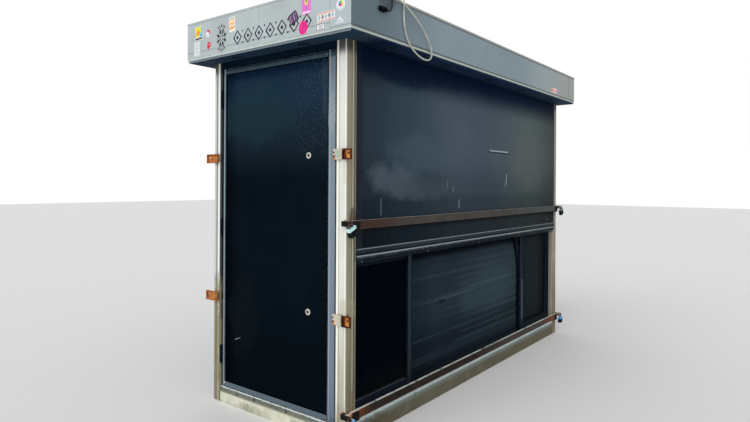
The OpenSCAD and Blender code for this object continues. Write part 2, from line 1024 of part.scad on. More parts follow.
module soffit_lights() {
    color(near_black)
        for (spot = light_spots)
            translate([spot[0], spot[1], soffit_z])
                rotate_extrude()
                    polygon([[0, 2], [light_r - 10, 2], [light_r - 8, -light_drop], [light_r, -light_drop + 1],
                             [light_r, 0], [light_r - light_lip, 0], [light_r - light_lip, soffit_t],
                             [0, soffit_t]]);
}

fascia_low = box_low + trim_h;
fascia_high = box_high - cap_h;

// Long board with a return round each corner
module long_fascia() {
    block([-roof_x, -roof_y, fascia_low], [roof_x, -roof_y + fascia_t, fascia_high]);
    for (side = [-1, 1])
        scale([side, 1, 1])
            block([roof_x - fascia_t, -roof_y + fascia_t, fascia_low],
                  [roof_x, -roof_y + corner_return, fascia_high]);
}

module fascia_front() {
    color([0.43, 0.46, 0.49])
        long_fascia();
}

module fascia_rear() {
    color([0.43, 0.46, 0.49])
        scale([1, -1, 1])
            long_fascia();
}

seam = 1.5;

// Two boards at each end, with a seam between them
module fascia_ends() {
    color(silver)
        for (sx = [-1, 1])
            for (sy = [-1, 1])
                scale([sx, sy, 1])
                    block([roof_x - fascia_t, seam / 2, fascia_low],
                          [roof_x, roof_y - corner_return - seam, fascia_high]);
}

module ring(low, high, out, thick) {
    difference() {
        block([-roof_x - out, -roof_y - out, low], [roof_x + out, roof_y + out, high]);
        block([-roof_x + thick, -roof_y + thick, low - 1], [roof_x - thick, roof_y - thick, high + 1]);
    }
}

module fascia_trims() {
    color([0.75, 0.74, 0.70]) {
        ring(box_low, fascia_low, 0, fascia_t);
        ring(fascia_high, box_high, cap_proud, fascia_t);
    }
}

deck_t = 6;
parapet = 36;
deck_half = roof_y - fascia_t;
deck_low = box_high - parapet - roof_fall - deck_t;
deck_slope = atan(roof_fall / (2 * deck_half));

// Height of the deck's top at a place from front to rear
function deck_z(y) = deck_low + deck_t + roof_fall * (deck_half - y) / (2 * deck_half);

module roof_deck() {
    color(zinc)
        along_x(-roof_x + fascia_t, roof_x - fascia_t)
            polygon([[-deck_half, deck_low + roof_fall], [deck_half, deck_low],
                     [deck_half, deck_low + deck_t], [-deck_half, deck_low + roof_fall + deck_t]]);
}

// Cables: a lead from the front gland and a loop over the edge, each ending in the deck
lead_d = 8;
loop_d = 10;
gland_h = 22;
lead_end = [-1460, -668];
loop_start = [-1420, -662];
loop_end = [-1293, -662];

module deck_glands() {
    color(near_black)
        for (spot = [lead_end, loop_start, loop_end])
            translate([spot[0], spot[1], deck_z(spot[1])])
                rotate([-deck_slope, 0, 0])
                    rotate_extrude()
                        polygon([[0, 0], [14, 0], [14, 5], [11, 7], [11, gland_h - 6], [8, gland_h],
                                 [0, gland_h]]);
}

gland_z = box_high - 98;
gland_r = 14;
gland_left = -1530;
gland_right = -1480;
nozzle_end = -1462;

// Round-backed fitting on the front fascia, with its mouth towards the far end
module cable_gland() {
    y = -roof_y - gland_r;
    color(near_black) {
        translate([gland_left, y, gland_z])
            rotate([0, 90, 0])
                rotate_extrude()
                    polygon([[0, -gland_r + 4], [8, -gland_r + 6], [gland_r - 1, -5], [gland_r, 0],
                             [gland_r, gland_right - gland_left], [8, nozzle_end - gland_left - 4],
                             [7, nozzle_end - gland_left], [0, nozzle_end - gland_left]]);
        block([gland_left + 6, y, gland_z - gland_r], [gland_right - 6, -roof_y, gland_z + gland_r]);
    }
}

lead_route = [
    [-1462, -753, 2497], [-1452, -753, 2497], [-1441, -753, 2500], [-1431, -753, 2508], [-1423, -753, 2520],
    [-1419, -753, 2537],
    [-1418, -753, 2558], [-1420, -752, 2581], [-1424, -745, 2601], [-1432, -730, 2615], [-1441, -711, 2620],
    [-1449, -693, 2617], [-1456, -679, 2607], [-1459, -671, 2596], [-1460, -668, 2586], [-1460, -668, 2580.3]
];
loop_route = [
    [-1420, -662, 2580.3], [-1420, -662, 2587], [-1419, -664, 2600], [-1416, -669, 2612], [-1411, -679, 2622],
    [-1403, -694, 2629], [-1394, -712, 2629], [-1384, -730, 2620], [-1371, -746, 2605], [-1353, -758, 2588],
    [-1329, -765, 2575], [-1300, -768, 2563],
    [-1267, -767, 2551], [-1228, -766, 2535], [-1187, -765, 2516], [-1146, -764, 2494], [-1102, -763, 2466],
    [-1063, -762, 2433], [-1028, -761, 2397], [-1002, -760, 2358], [-996, -759, 2320], [-1019, -758, 2292],
    [-1060, -757, 2283], [-1106, -756, 2287], [-1152, -755, 2299], [-1193, -753, 2319], [-1230, -751, 2347],
    [-1258, -749, 2382], [-1276, -748, 2422], [-1287, -748, 2465], [-1292, -748, 2510], [-1293, -748, 2550],
    [-1293, -748, 2586], [-1293, -746, 2602], [-1293, -738, 2616], [-1293, -724, 2627], [-1293, -706, 2631],
    [-1293, -688, 2628], [-1293, -673, 2618], [-1293, -664, 2604], [-1293, -662, 2588], [-1293, -662, 2580.3]
];
ring_sides = 10;

function unit(v) = v / norm(v);
function heading(route, n) = unit(route[min(n + 1, len(route) - 1)] - route[max(n - 1, 0)]);

// Carries a side direction along the route, so that the tube doesn't twist
function sideways(route, n) = n == 0 ? unit(cross(heading(route, 0), [1, 0.2, 0.1]))
    : let (last = sideways(route, n - 1), way = heading(route, n)) unit(last - (last * way) * way);

// Round tube along a route
module tube(route, diameter) {
    count = len(route);
    rings = [for (n = [0 : count - 1])
        let (way = heading(route, n), side = sideways(route, n), up = cross(way, side))
            for (k = [0 : ring_sides - 1])
                route[n] + diameter / 2 * (cos(360 * k / ring_sides) * side + sin(360 * k / ring_sides) * up)];
    sides = [for (n = [0 : count - 2])
        for (k = [0 : ring_sides - 1])
            let (a = n * ring_sides + k, b = n * ring_sides + (k + 1) % ring_sides)
                [a, a + ring_sides, b + ring_sides, b]];
    first = [for (k = [0 : ring_sides - 1]) k];
    last = [for (k = [ring_sides - 1 : -1 : 0]) (count - 1) * ring_sides + k];
    polyhedron(rings, concat(sides, [first, last]), convexity = 6);
}

module gland_lead() {
    color(near_black)
        tube(lead_route, lead_d);
}

module cable_loop() {
    color([0.62, 0.64, 0.62])
        tube(loop_route, loop_d);
}

corner_posts();
top_rails();
front_cill();
rear_cill();
door_step();
far_step();
floor_joists();
floor_panel();
door_threshold();
door_frame();
door_leaf_frame();
door_panel();
door_locks();
door_hinge_leaves();
door_hinge_posts();
door_hasps();
hasp_boxes();
rear_brackets();
flap_skin();
flap_frame();
flap_bottom_rail();
flap_hinge();
counter_rail();
front_lower_rails();
front_panel_frames();
front_panes();
jamb_trims();
shutter_guides();
shutter_laths();
shutter_bottom_bar();
shutter_box();
shutter_roll();
upper_lock_bar();
lower_lock_bar();
bar_staples();
padlock_bodies();
padlock_caps();
padlock_shackles();
rear_frame();
rear_panes();
far_frame();
far_pane();
soffit_panel();
soffit_lights();
fascia_front();
fascia_rear();
fascia_ends();
fascia_trims();
roof_deck();
deck_glands();
cable_gland();
gland_lead();
cable_loop();
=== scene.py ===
"""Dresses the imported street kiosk: a finish for every solid, small fittings, stickers and cables."""

from __future__ import annotations

import json
import logging
import math
import random
from dataclasses import dataclass
from enum import Enum
from typing import Callable, Iterable, Sequence

import bmesh
import bpy
from mathutils import Matrix, Vector

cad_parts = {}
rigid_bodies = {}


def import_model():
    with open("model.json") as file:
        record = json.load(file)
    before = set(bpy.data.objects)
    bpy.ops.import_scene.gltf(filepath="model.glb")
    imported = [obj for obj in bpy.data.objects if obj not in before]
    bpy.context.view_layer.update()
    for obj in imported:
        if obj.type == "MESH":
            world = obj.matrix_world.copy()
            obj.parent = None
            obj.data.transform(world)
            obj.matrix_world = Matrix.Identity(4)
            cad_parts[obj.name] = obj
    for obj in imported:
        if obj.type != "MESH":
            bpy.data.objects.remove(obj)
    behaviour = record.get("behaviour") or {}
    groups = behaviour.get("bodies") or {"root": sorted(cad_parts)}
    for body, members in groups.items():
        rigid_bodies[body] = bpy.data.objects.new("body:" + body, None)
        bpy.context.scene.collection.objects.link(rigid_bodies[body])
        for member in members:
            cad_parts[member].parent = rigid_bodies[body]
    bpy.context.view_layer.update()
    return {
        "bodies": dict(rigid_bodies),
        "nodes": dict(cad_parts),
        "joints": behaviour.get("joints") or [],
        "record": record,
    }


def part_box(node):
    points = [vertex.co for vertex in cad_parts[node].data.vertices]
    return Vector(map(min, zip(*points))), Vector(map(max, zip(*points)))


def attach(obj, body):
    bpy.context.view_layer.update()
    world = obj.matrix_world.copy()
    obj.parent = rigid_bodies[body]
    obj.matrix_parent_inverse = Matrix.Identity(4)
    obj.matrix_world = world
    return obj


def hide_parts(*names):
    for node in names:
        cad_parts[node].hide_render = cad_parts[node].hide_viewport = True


LOG = logging.getLogger("kiosk")

Colour = tuple[float, float, float]
Point = tuple[float, float, float]
Spot = tuple[float, float]
Hue = Colour | str
Row = tuple[float, ...]
Node = bpy.types.Node
Socket = bpy.types.NodeSocket
Outputs = dict[str, Socket]


def srgb(code: str) -> Colour:
    """Turns a colour of six hexadecimal figures into the linear one that shaders take."""
    parts = [int(code[n : n + 2], 16) / 255 for n in (0, 2, 4)]
    return tuple(p / 12.92 if p <= 0.04045 else ((p + 0.055) / 1.055) ** 2.4 for p in parts)


# Shader building


class Graph:
    """Adds and joins nodes in one shader tree."""

    def __init__(self, tree: bpy.types.NodeTree) -> None:
        """Keeps the tree that the nodes go into."""
        self.tree = tree

    def add(self, kind: str, **settings: object) -> Node:
        """Adds a node.

        Args:
            kind: The node's type name.
            **settings: Properties to set on it.

        Returns:
            The new node.
        """
        node = self.tree.nodes.new(kind)
        for key, value in settings.items():
            setattr(node, key, value)
        return node

    def feed(self, socket: Socket, value: object) -> None:
        """Links a socket into another, or sets its value.

        Args:
            socket: The input socket.
            value: A socket, a number, a colour or a colour's code.
        """
        if isinstance(value, str):
            value = srgb(value)
        if isinstance(value, Socket):
            self.tree.links.new(value, socket)
        elif isinstance(value, (tuple, list)) and len(value) == 3 and socket.type == "RGBA":
            socket.default_value = (*value, 1.0)
        else:
            socket.default_value = value

    def math(self, what: str, a: object, b: object = 0.0, clamp: bool = False) -> Socket:
        """Adds a Math node.

        Args:
            what: The operation.
            a: First value or socket.
            b: Second value or socket.
            clamp: Whether the result stays between 0 and 1.

        Returns:
            The result's socket.
        """
        node = self.add("ShaderNodeMath", operation=what, use_clamp=clamp)
        self.feed(node.inputs[0], a)
        self.feed(node.inputs[1], b)
        return node.outputs[0]

    def times(self, a: object, b: object) -> Socket:
        """Multiplies two values or sockets."""
        return self.math("MULTIPLY", a, b)

    def plus(self, a: object, b: object, clamp: bool = False) -> Socket:
        """Adds two values or sockets."""
        return self.math("ADD", a, b, clamp)

    def minus(self, a: object, b: object) -> Socket:
        """Takes the second value or socket from the first."""
        return self.math("SUBTRACT", a, b)

    def mix(self, amount: object, a: object, b: object, blend: str = "MIX") -> Socket:
        """Mixes two colours.

        Args:
            amount: How much of b shows, from 0 to 1.
            a: First colour or socket.
            b: Second colour or socket.
            blend: The blend type.

        Returns:
            The mixed colour's socket.
        """
        node = self.add("ShaderNodeMix", data_type="RGBA", blend_type=blend)
        self.feed(node.inputs[0], amount)
        self.feed(node.inputs[6], a)
        self.feed(node.inputs[7], b)
        return node.outputs[2]

    def ramp(self, value: object, low: object, high: object) -> Socket:
        """Maps a value to 0 at low and 1 at high, eased at both ends and held outside that range.

        Args:
            value: The value or socket.
            low: Where the result is 0.
            high: Where the result is 1.

        Returns:
            The result's socket.
        """
        node = self.add("ShaderNodeMapRange", interpolation_type="SMOOTHSTEP")
        self.feed(node.inputs["Value"], value)
        self.feed(node.inputs["From Min"], low)
        self.feed(node.inputs["From Max"], high)
        return node.outputs[0]

    def place(self) -> Socket:
        """Returns the position on the object, in metres in the row frame."""
        return self.add("ShaderNodeTexCoord").outputs["Object"]

    def part(self, vector: object, axis: int) -> Socket:
        """Returns a vector's share along X, Y or Z.

        Args:
            vector: The vector socket.
            axis: 0, 1 or 2.

        Returns:
            The value's socket.
        """
        split = self.add("ShaderNodeSeparateXYZ")
        self.feed(split.inputs[0], vector)
        return split.outputs[axis]

    def stretch(self, vector: object, by: Point) -> Socket:
        """Scales a vector.

        Args:
            vector: The vector socket.
            by: Factors along X, Y and Z.

        Returns:
            The scaled vector's socket.
        """
        node = self.add("ShaderNodeVectorMath", operation="MULTIPLY")
        self.feed(node.inputs[0], vector)
        node.inputs[1].default_value = by
        return node.outputs[0]

    def noise(self, vector: object, scale: object, detail: float = 3.0,
              rough: float = 0.55) -> Socket:
        """Adds a noise texture.

        Args:
            vector: Where to read it.
            scale: Its scale.
            detail: Its number of octaves.
            rough: How strong the fine octaves are.

        Returns:
            The noise value's socket, about 0.5 on average.
        """
        node = self.add("ShaderNodeTexNoise")
        self.feed(node.inputs["Vector"], vector)
        self.feed(node.inputs["Scale"], scale)
        node.inputs["Detail"].default_value = detail
        node.inputs["Roughness"].default_value = rough
        return node.outputs[0]

    def group(self, effect: "Effect", **values: object) -> Node:
        """Places an effect's node group.

        Args:
            effect: Which effect.
            **values: Values or sockets for its inputs, with _ for a space.

        Returns:
            The group node.
        """
        node = self.add("ShaderNodeGroup", node_tree=effect_group(effect))
        for key, value in values.items():
            self.feed(node.inputs[key.replace("_", " ")], value)
        return node


class Effect(Enum):
    """Weather and wear effects that several finishes share; one of them also paints a highlight on upward
    faces.
    """

    GRAIN = "surface grain"
    MOTTLE = "uneven tone"
    STREAKS = "rain streaks"
    GRIME = "rising grime"
    EDGE = "edge wear"
    RUST = "rust bloom"
    SPECKS = "splash specks"
    PATCH = "ragged patch"
    # Dirt on upward faces, and on some finishes a painted highlight where light falls from above.
    LEDGE = "settled dust"


# Noise scales along X, Y and Z: the thin runs of rain, the breaks along them, and the top of rising dirt
THIN_RUNS = (34.0, 34.0, 0.9)
RUN_BREAKS = (9.0, 9.0, 2.6)
RISING_DIRT = (7.0, 7.0, 3.0)


def _float_in(tree: bpy.types.NodeTree, name: str, value: float) -> None:
    """Adds a number input to a group, with its starting value."""
    socket = tree.interface.new_socket(name=name, in_out="INPUT", socket_type="NodeSocketFloat")
    socket.default_value = value


def _grain(g: Graph, ins: Node) -> Outputs:
    """Makes fine orange-peel height, and a slow change of roughness.

    Args:
        g: The group's graph.
        ins: The group's inputs.

    Returns:
        Its height and its sheen.
    """
    fine = g.noise(g.place(), ins.outputs["Scale"], 2.0, 0.6)
    slow = g.noise(g.place(), 2.3, 3.0)
    return {"Height": fine, "Sheen": slow}


def _mottle(g: Graph, ins: Node) -> Outputs:
    """Makes blotches of tone, large and small together.

    Args:
        g: The group's graph.
        ins: The group's inputs.

    Returns:
        Its mask.
    """
    large = g.noise(g.place(), ins.outputs["Scale"], 4.0, 0.62)
    return {"Mask": g.ramp(large, 0.34, 0.68)}


def _streaks(g: Graph, ins: Node) -> Outputs:
    """Makes thin runs down a wall, broken up along their length.

    Args:
        g: The group's graph.
        ins: The group's inputs.

    Returns:
        Its mask.
    """
    thin = g.noise(g.stretch(g.place(), THIN_RUNS), 1.0, 3.0, 0.6)
    broken = g.noise(g.stretch(g.place(), RUN_BREAKS), 1.0, 2.0)
    low = g.minus(0.78, g.times(ins.outputs["Amount"], 0.36))
    runs = g.ramp(thin, low, g.plus(low, 0.16))
    return {"Mask": g.times(runs, g.ramp(broken, 0.38, 0.62))}


def _grime(g: Graph, ins: Node) -> Outputs:
    """Makes dirt that climbs from a height downwards with a ragged top.

    Args:
        g: The group's graph.
        ins: The group's inputs.

    Returns:
        Its mask.
    """
    ragged = g.noise(g.stretch(g.place(), RISING_DIRT), 1.0, 4.0, 0.65)
    sway = g.times(g.minus(ragged, 0.5), ins.outputs["Ragged"])
    height = g.plus(g.part(g.place(), 2), sway)
    return {"Mask": g.ramp(height, ins.outputs["Clean Height"], ins.outputs["Dirty Height"])}


def _edge(g: Graph, ins: Node) -> Outputs:
    """Finds worn corners, where a rounded normal leaves the true one.

    Args:
        g: The group's graph.
        ins: The group's inputs.

    Returns:
        Its mask.
    """
    bevel = g.add("ShaderNodeBevel", samples=4)
    g.feed(bevel.inputs["Radius"], ins.outputs["Width"])
    normal = g.add("ShaderNodeNewGeometry").outputs["Normal"]
    dot = g.add("ShaderNodeVectorMath", operation="DOT_PRODUCT")
    g.feed(dot.inputs[0], bevel.outputs[0])
    g.feed(dot.inputs[1], normal)
    bend = g.minus(1.0, dot.outputs["Value"])
    chipped = g.noise(g.place(), 28.0, 4.0, 0.7)
    return {"Mask": g.times(g.ramp(bend, 0.01, 0.12), g.ramp(chipped, 0.36, 0.60))}


def _rust(g: Graph, ins: Node) -> Outputs:
    """Makes rust blooms, and their own change of tone.

    Args:
        g: The group's graph.
        ins: The group's inputs.

    Returns:
        Its mask and its tone.
    """
    blooms = g.noise(g.place(), ins.outputs["Scale"], 6.0, 0.68)
    low = g.minus(0.76, g.times(ins.outputs["Amount"], 0.42))
    mask = g.ramp(blooms, low, g.plus(low, 0.09))
    tone = g.noise(g.place(), 46.0, 4.0, 0.7)
    return {"Mask": mask, "Tone": g.ramp(tone, 0.35, 0.65)}


def _specks(g: Graph, ins: Node) -> Outputs:
    """Makes small round splashes, as many as the cover asks for.

    Args:
        g: The group's graph.
        ins: The group's inputs.

    Returns:
        Its mask.
    """
    cells = g.add("ShaderNodeTexVoronoi", feature="F1")
    g.feed(cells.inputs["Vector"], g.place())
    g.feed(cells.inputs["Scale"], ins.outputs["Scale"])
    pick = g.add("ShaderNodeSeparateColor")
    g.feed(pick.inputs[0], cells.outputs["Color"])
    dot = g.ramp(cells.outputs["Distance"], 0.30, 0.14)
    some = g.ramp(pick.outputs[0], g.minus(1.0, ins.outputs["Cover"]), 1.0)
    return {"Mask": g.times(dot, some)}


def _patch(g: Graph, ins: Node) -> Outputs:
    """Makes a patch at a place on a wall: square with ragged sides, and round like a cloud.

    Args:
        g: The group's graph.
        ins: The group's inputs.

    Returns:
        Its mask and its cloud.
    """
    place = g.place()
    wobble = g.minus(g.noise(place, ins.outputs["Raggedness"], 4.0, 0.65), 0.5)
    sway = g.times(wobble, ins.outputs["Sway"])
    split = g.add("ShaderNodeSeparateXYZ")
    g.feed(split.inputs[0], place)
    along_y = g.minus(1.0, ins.outputs["Along X"])
    along = g.plus(g.times(split.outputs[0], ins.outputs["Along X"]),
                   g.times(split.outputs[1], along_y))
    masks, far = [], 0.0
    ways = ((along, "Across", "Half Width"), (split.outputs[2], "Height", "Half Height"))
    for value, centre, half in ways:
        gap = g.math("ABSOLUTE", g.minus(value, ins.outputs[centre]))
        out = g.minus(g.plus(gap, sway), ins.outputs[half])
        masks.append(g.ramp(out, ins.outputs["Softness"], 0.0))
        far = g.plus(far, g.math("POWER", g.math("DIVIDE", gap, ins.outputs[half]), 2.0))
    cloud = g.ramp(g.plus(far, g.times(wobble, 3.2)), 1.5, 0.2)
    return {"Mask": g.times(masks[0], masks[1]), "Cloud": cloud}


def _ledge(g: Graph, ins: Node) -> Outputs:
    """Finds upward faces, where dirt settles, paint wears thin and some finishes take a painted highlight.

    Args:
        g: The group's graph.
        ins: The group's inputs.

    Returns:
        Its mask.
    """
    up = g.part(g.add("ShaderNodeNewGeometry").outputs["Normal"], 2)
    broken = g.noise(g.place(), ins.outputs["Scale"], 4.0, 0.7)
    return {"Mask": g.times(g.ramp(up, 0.55, 0.9), g.ramp(broken, 0.30, 0.52))}


EFFECTS: dict[Effect, tuple[Callable[[Graph, Node], Outputs], dict[str, float]]] = {
    Effect.GRAIN: (_grain, {"Scale": 240.0}),
    Effect.MOTTLE: (_mottle, {"Scale": 3.0}),
    Effect.STREAKS: (_streaks, {"Amount": 0.5}),
    Effect.GRIME: (_grime, {"Clean Height": 0.6, "Dirty Height": 0.1, "Ragged": 0.4}),
    Effect.EDGE: (_edge, {"Width": 0.004}),
    Effect.RUST: (_rust, {"Scale": 18.0, "Amount": 0.5}),
    Effect.SPECKS: (_specks, {"Scale": 60.0, "Cover": 0.4}),
    Effect.LEDGE: (_ledge, {"Scale": 14.0}),
    Effect.PATCH: (_patch, {"Across": 0.0, "Height": 1.0, "Half Width": 0.1, "Half Height": 0.1,
                            "Softness": 0.02, "Raggedness": 14.0, "Sway": 0.05, "Along X": 1.0}),
}


def effect_group(effect: Effect) -> bpy.types.NodeTree:
    """Returns an effect's node group, and builds it at its first use.

    Args:
        effect: Which effect.

    Returns:
        The node group.
    """
    made = bpy.data.node_groups.get(effect.value)
    if made:
        return made
    build, inputs = EFFECTS[effect]
    tree = bpy.data.node_groups.new(effect.value, "ShaderNodeTree")
    for name, value in inputs.items():
        _float_in(tree, name, value)
    graph = Graph(tree)
    results = build(graph, graph.add("NodeGroupInput"))
    for name in results:
        tree.interface.new_socket(name=name, in_out="OUTPUT", socket_type="NodeSocketFloat")
    out = graph.add("NodeGroupOutput")
    for name, socket in results.items():
        graph.feed(out.inputs[name], socket)
    return tree


# Finishes

# How strongly the splashes show, and how much smaller and closer they stand in a marked place
SPECK_STRENGTH = 0.6
CLOSE_SPECKS = 1.3
CLOSE_COVER = 0.75
# The least and the added strength of rain streaks
STREAK_LEAST = 0.3
STREAK_MORE = 0.4
# How much rougher rust is, how far the sheen wanders and how deep the grain is, in metres
RUST_ROUGH = 0.35
SHEEN_SWAY = 0.22
GRAIN_DEPTH = 0.001


@dataclass(frozen=True)
class Patch:
    """A smear, run, scuff, painted shadow or painted highlight at one place on a wall."""

    across: float
    height: float
    half: Spot
    colour: Hue
    strength: float = 0.5
    softness: float = 0.02
    sway: float = 0.04
    raggedness: float = 14.0
    along_x: float = 1.0
    shape: str = "Mask"


@dataclass(frozen=True)
class Fade:
    """A slow change to another colour between two places along X, Y or Z."""

    axis: int
    start: float
    end: float
    colour: Hue
    strength: float = 1.0
    blend: str = "MIX"


@dataclass(frozen=True)
class Paint:
    """A weathered paint, sheet or casting: one set of values for every shared effect."""

    name: str
    base: Hue
    tone: Hue
    rough: float = 0.5
    shine: float = 0.12
    metal: float = 0.0
    coat: float = 0.0
    mottle: float = 0.5
    mottle_scale: float = 3.0
    streaks: float = 0.0
    streak_colour: Hue = (0.05, 0.045, 0.04)
    grime: float = 0.0
    grime_heights: Spot = (0.6, 0.05)
    grime_colour: Hue = (0.06, 0.055, 0.045)
    rust: float = 0.0
    rust_scale: float = 16.0
    wear: float = 0.0
    wear_width: float = 0.004
    wear_colour: Hue = (0.45, 0.45, 0.43)
    ledge: float = 0.0
    ledge_colour: Hue = (0.4, 0.39, 0.35)
    specks: float = 0.0
    speck_scale: float = 60.0
    speck_colour: Hue = (0.25, 0.28, 0.3)
    speck_places: tuple[Patch, ...] = ()
    bump: float = 0.06
    grain_scale: float = 240.0
    fades: tuple[Fade, ...] = ()
    patches: tuple[Patch, ...] = ()

    def patch_mask(self, g: Graph, patch: Patch) -> Socket:
        """Places the patch effect with one patch's values, and returns its mask."""
        return g.group(Effect.PATCH, Across=patch.across, Height=patch.height, Half_Width=patch.half[0],
                       Half_Height=patch.half[1], Softness=patch.softness, Sway=patch.sway,
                       Raggedness=patch.raggedness, Along_X=patch.along_x).outputs[patch.shape]

    def coat_of_paint(self, g: Graph) -> Socket:
        """Mixes the paint's colour: its two tones, its fades, splashes and smears, some of them painted
        light and shade.

        Args:
            g: The material's graph.

        Returns:
            The colour's socket.
        """
        tone = g.group(Effect.MOTTLE, Scale=self.mottle_scale).outputs["Mask"]
        colour = g.mix(g.times(tone, self.mottle), self.base, self.tone)
        for fade in self.fades:
            along = g.ramp(g.part(g.place(), fade.axis), fade.start, fade.end)
            colour = g.mix(g.times(along, fade.strength), colour, fade.colour, fade.blend)
        for patch in self.patches:
            colour = g.mix(g.times(self.patch_mask(g, patch), patch.strength), colour, patch.colour)
        if self.specks:
            dots = g.group(Effect.SPECKS, Scale=self.speck_scale, Cover=self.specks).outputs["Mask"]
            colour = g.mix(g.times(dots, SPECK_STRENGTH), colour, self.speck_colour)
        for place in self.speck_places:
            dots = g.group(Effect.SPECKS, Scale=self.speck_scale * CLOSE_SPECKS, Cover=CLOSE_COVER)
            here = g.times(dots.outputs["Mask"], self.patch_mask(g, place))
            colour = g.mix(g.times(here, place.strength), colour, place.colour)
        return colour

    def weather(self, g: Graph, colour: object) -> object:
        """Lays rain streaks, rising dirt, worn corners, and dirt on upward faces that is partly a painted
        highlight, over the paint.

        Args:
            g: The material's graph.
            colour: The paint's colour.

        Returns:
            The weathered colour.
        """
        if self.streaks:
            runs = g.group(Effect.STREAKS, Amount=self.streaks).outputs["Mask"]
            strength = min(1.0, STREAK_LEAST + self.streaks * STREAK_MORE)
            colour = g.mix(g.times(runs, strength), colour, self.streak_colour)
        if self.grime:
            clean, dirty = self.grime_heights
            dirt = g.group(Effect.GRIME, Clean_Height=clean, Dirty_Height=dirty).outputs["Mask"]
            colour = g.mix(g.times(dirt, self.grime), colour, self.grime_colour)
        if self.ledge:
            # Upward faces take the ledge colour: dirt, and on some finishes a painted highlight.
            dirt_and_top_highlight = g.group(Effect.LEDGE).outputs["Mask"]
            colour = g.mix(g.times(dirt_and_top_highlight, self.ledge), colour, self.ledge_colour)
        if self.wear:
            worn = g.group(Effect.EDGE, Width=self.wear_width).outputs["Mask"]
            colour = g.mix(g.times(worn, self.wear), colour, self.wear_colour)
        return colour

    def build(self) -> bpy.types.Material:
        """Builds the material, or returns it if it is built already."""
        made = bpy.data.materials.get(self.name)
        if made:
            return made
        material = bpy.data.materials.new(self.name)
        material.use_nodes = True
        g = Graph(material.node_tree)
        shader = material.node_tree.nodes["Principled BSDF"]
        colour = self.weather(g, self.coat_of_paint(g))
        roughness: object = self.rough
        if self.rust:
            bloom = g.group(Effect.RUST, Scale=self.rust_scale, Amount=self.rust)
            rusty = g.mix(bloom.outputs["Tone"], "5a2a14", "a8602c")
            colour = g.mix(bloom.outputs["Mask"], colour, rusty)
            rougher = g.times(bloom.outputs["Mask"], RUST_ROUGH)
            roughness = g.plus(self.rough, rougher, clamp=True)
        grain = g.group(Effect.GRAIN, Scale=self.grain_scale)
        sheen = g.times(g.minus(grain.outputs["Sheen"], 0.5), SHEEN_SWAY)
        g.feed(shader.inputs["Roughness"], g.plus(roughness, sheen, clamp=True))
        g.feed(shader.inputs["Base Color"], colour)
        shader.inputs["Specular IOR Level"].default_value = self.shine
        shader.inputs["Metallic"].default_value = self.metal
        shader.inputs["Coat Weight"].default_value = self.coat
        bump = g.add("ShaderNodeBump")
        bump.inputs["Strength"].default_value = self.bump
        bump.inputs["Distance"].default_value = GRAIN_DEPTH
        g.feed(bump.inputs["Height"], grain.outputs["Height"])
        g.feed(shader.inputs["Normal"], bump.outputs[0])
        return material


# Share of the light on the front and under the roof, the door's end taken as 1
FRONT_LIGHT = 0.75
UNDER_LIGHT = 0.45
# The palest colour that a finish may take
PALEST = 0.92


def lit(code: str, light: float = FRONT_LIGHT) -> Colour:
    """Gives the colour to write so that a face in part of the light shows a screen colour."""
    return tuple(min(PALEST, c / light) for c in srgb(code))


def cloud(across: float, height: float, half: Spot, colour: Hue, strength: float = 0.6,
          raggedness: float = 6.0, along_x: float = 1.0) -> Patch:
    """Gives a patch with a wandering, fading edge, such as a smear, a painted shadow or a painted
    reflection; half is its half width and half height.
    """
    return Patch(across, height, half, colour, strength, raggedness=raggedness, along_x=along_x,
                 shape="Cloud")


def stripe(across: float, half: float, colour: Hue, strength: float = 0.8, along_x: float = 0.0,
           softness: float = 0.002) -> Patch:
    """Gives a thin line up the whole height of a part."""
    return Patch(across, 1.2, (half, 1.3), colour, strength, softness, 0.0, along_x=along_x)


def course(height: float, half: float, colour: Hue, strength: float = 0.7) -> Patch:
    """Gives a thin level line round a part."""
    return Patch(0.0, height, (3.0, half), colour, strength, 0.003, 0.0)


def shade(axis: int, start: float, end: float, code: str) -> Fade:
    """Gives a fade that darkens what lies under it, by a factor written as a screen colour."""
    return Fade(axis, start, end, code, 1.0, "MULTIPLY")


def vinyl(code: str) -> Paint:
    """Gives the finish of printed sticker film in one colour.

    Args:
        code: The print's colour as six hexadecimal figures.

    Returns:
        The finish.
    """
    base = srgb(code)
    faded = tuple(c * 0.82 + 0.07 for c in base)
    return Paint("vinyl_" + code, base, faded, rough=0.42, mottle=0.6, mottle_scale=34.0, streaks=0.12,
                 streak_colour="8a8a86", bump=0.03)


# Finishes of the kiosk's own parts

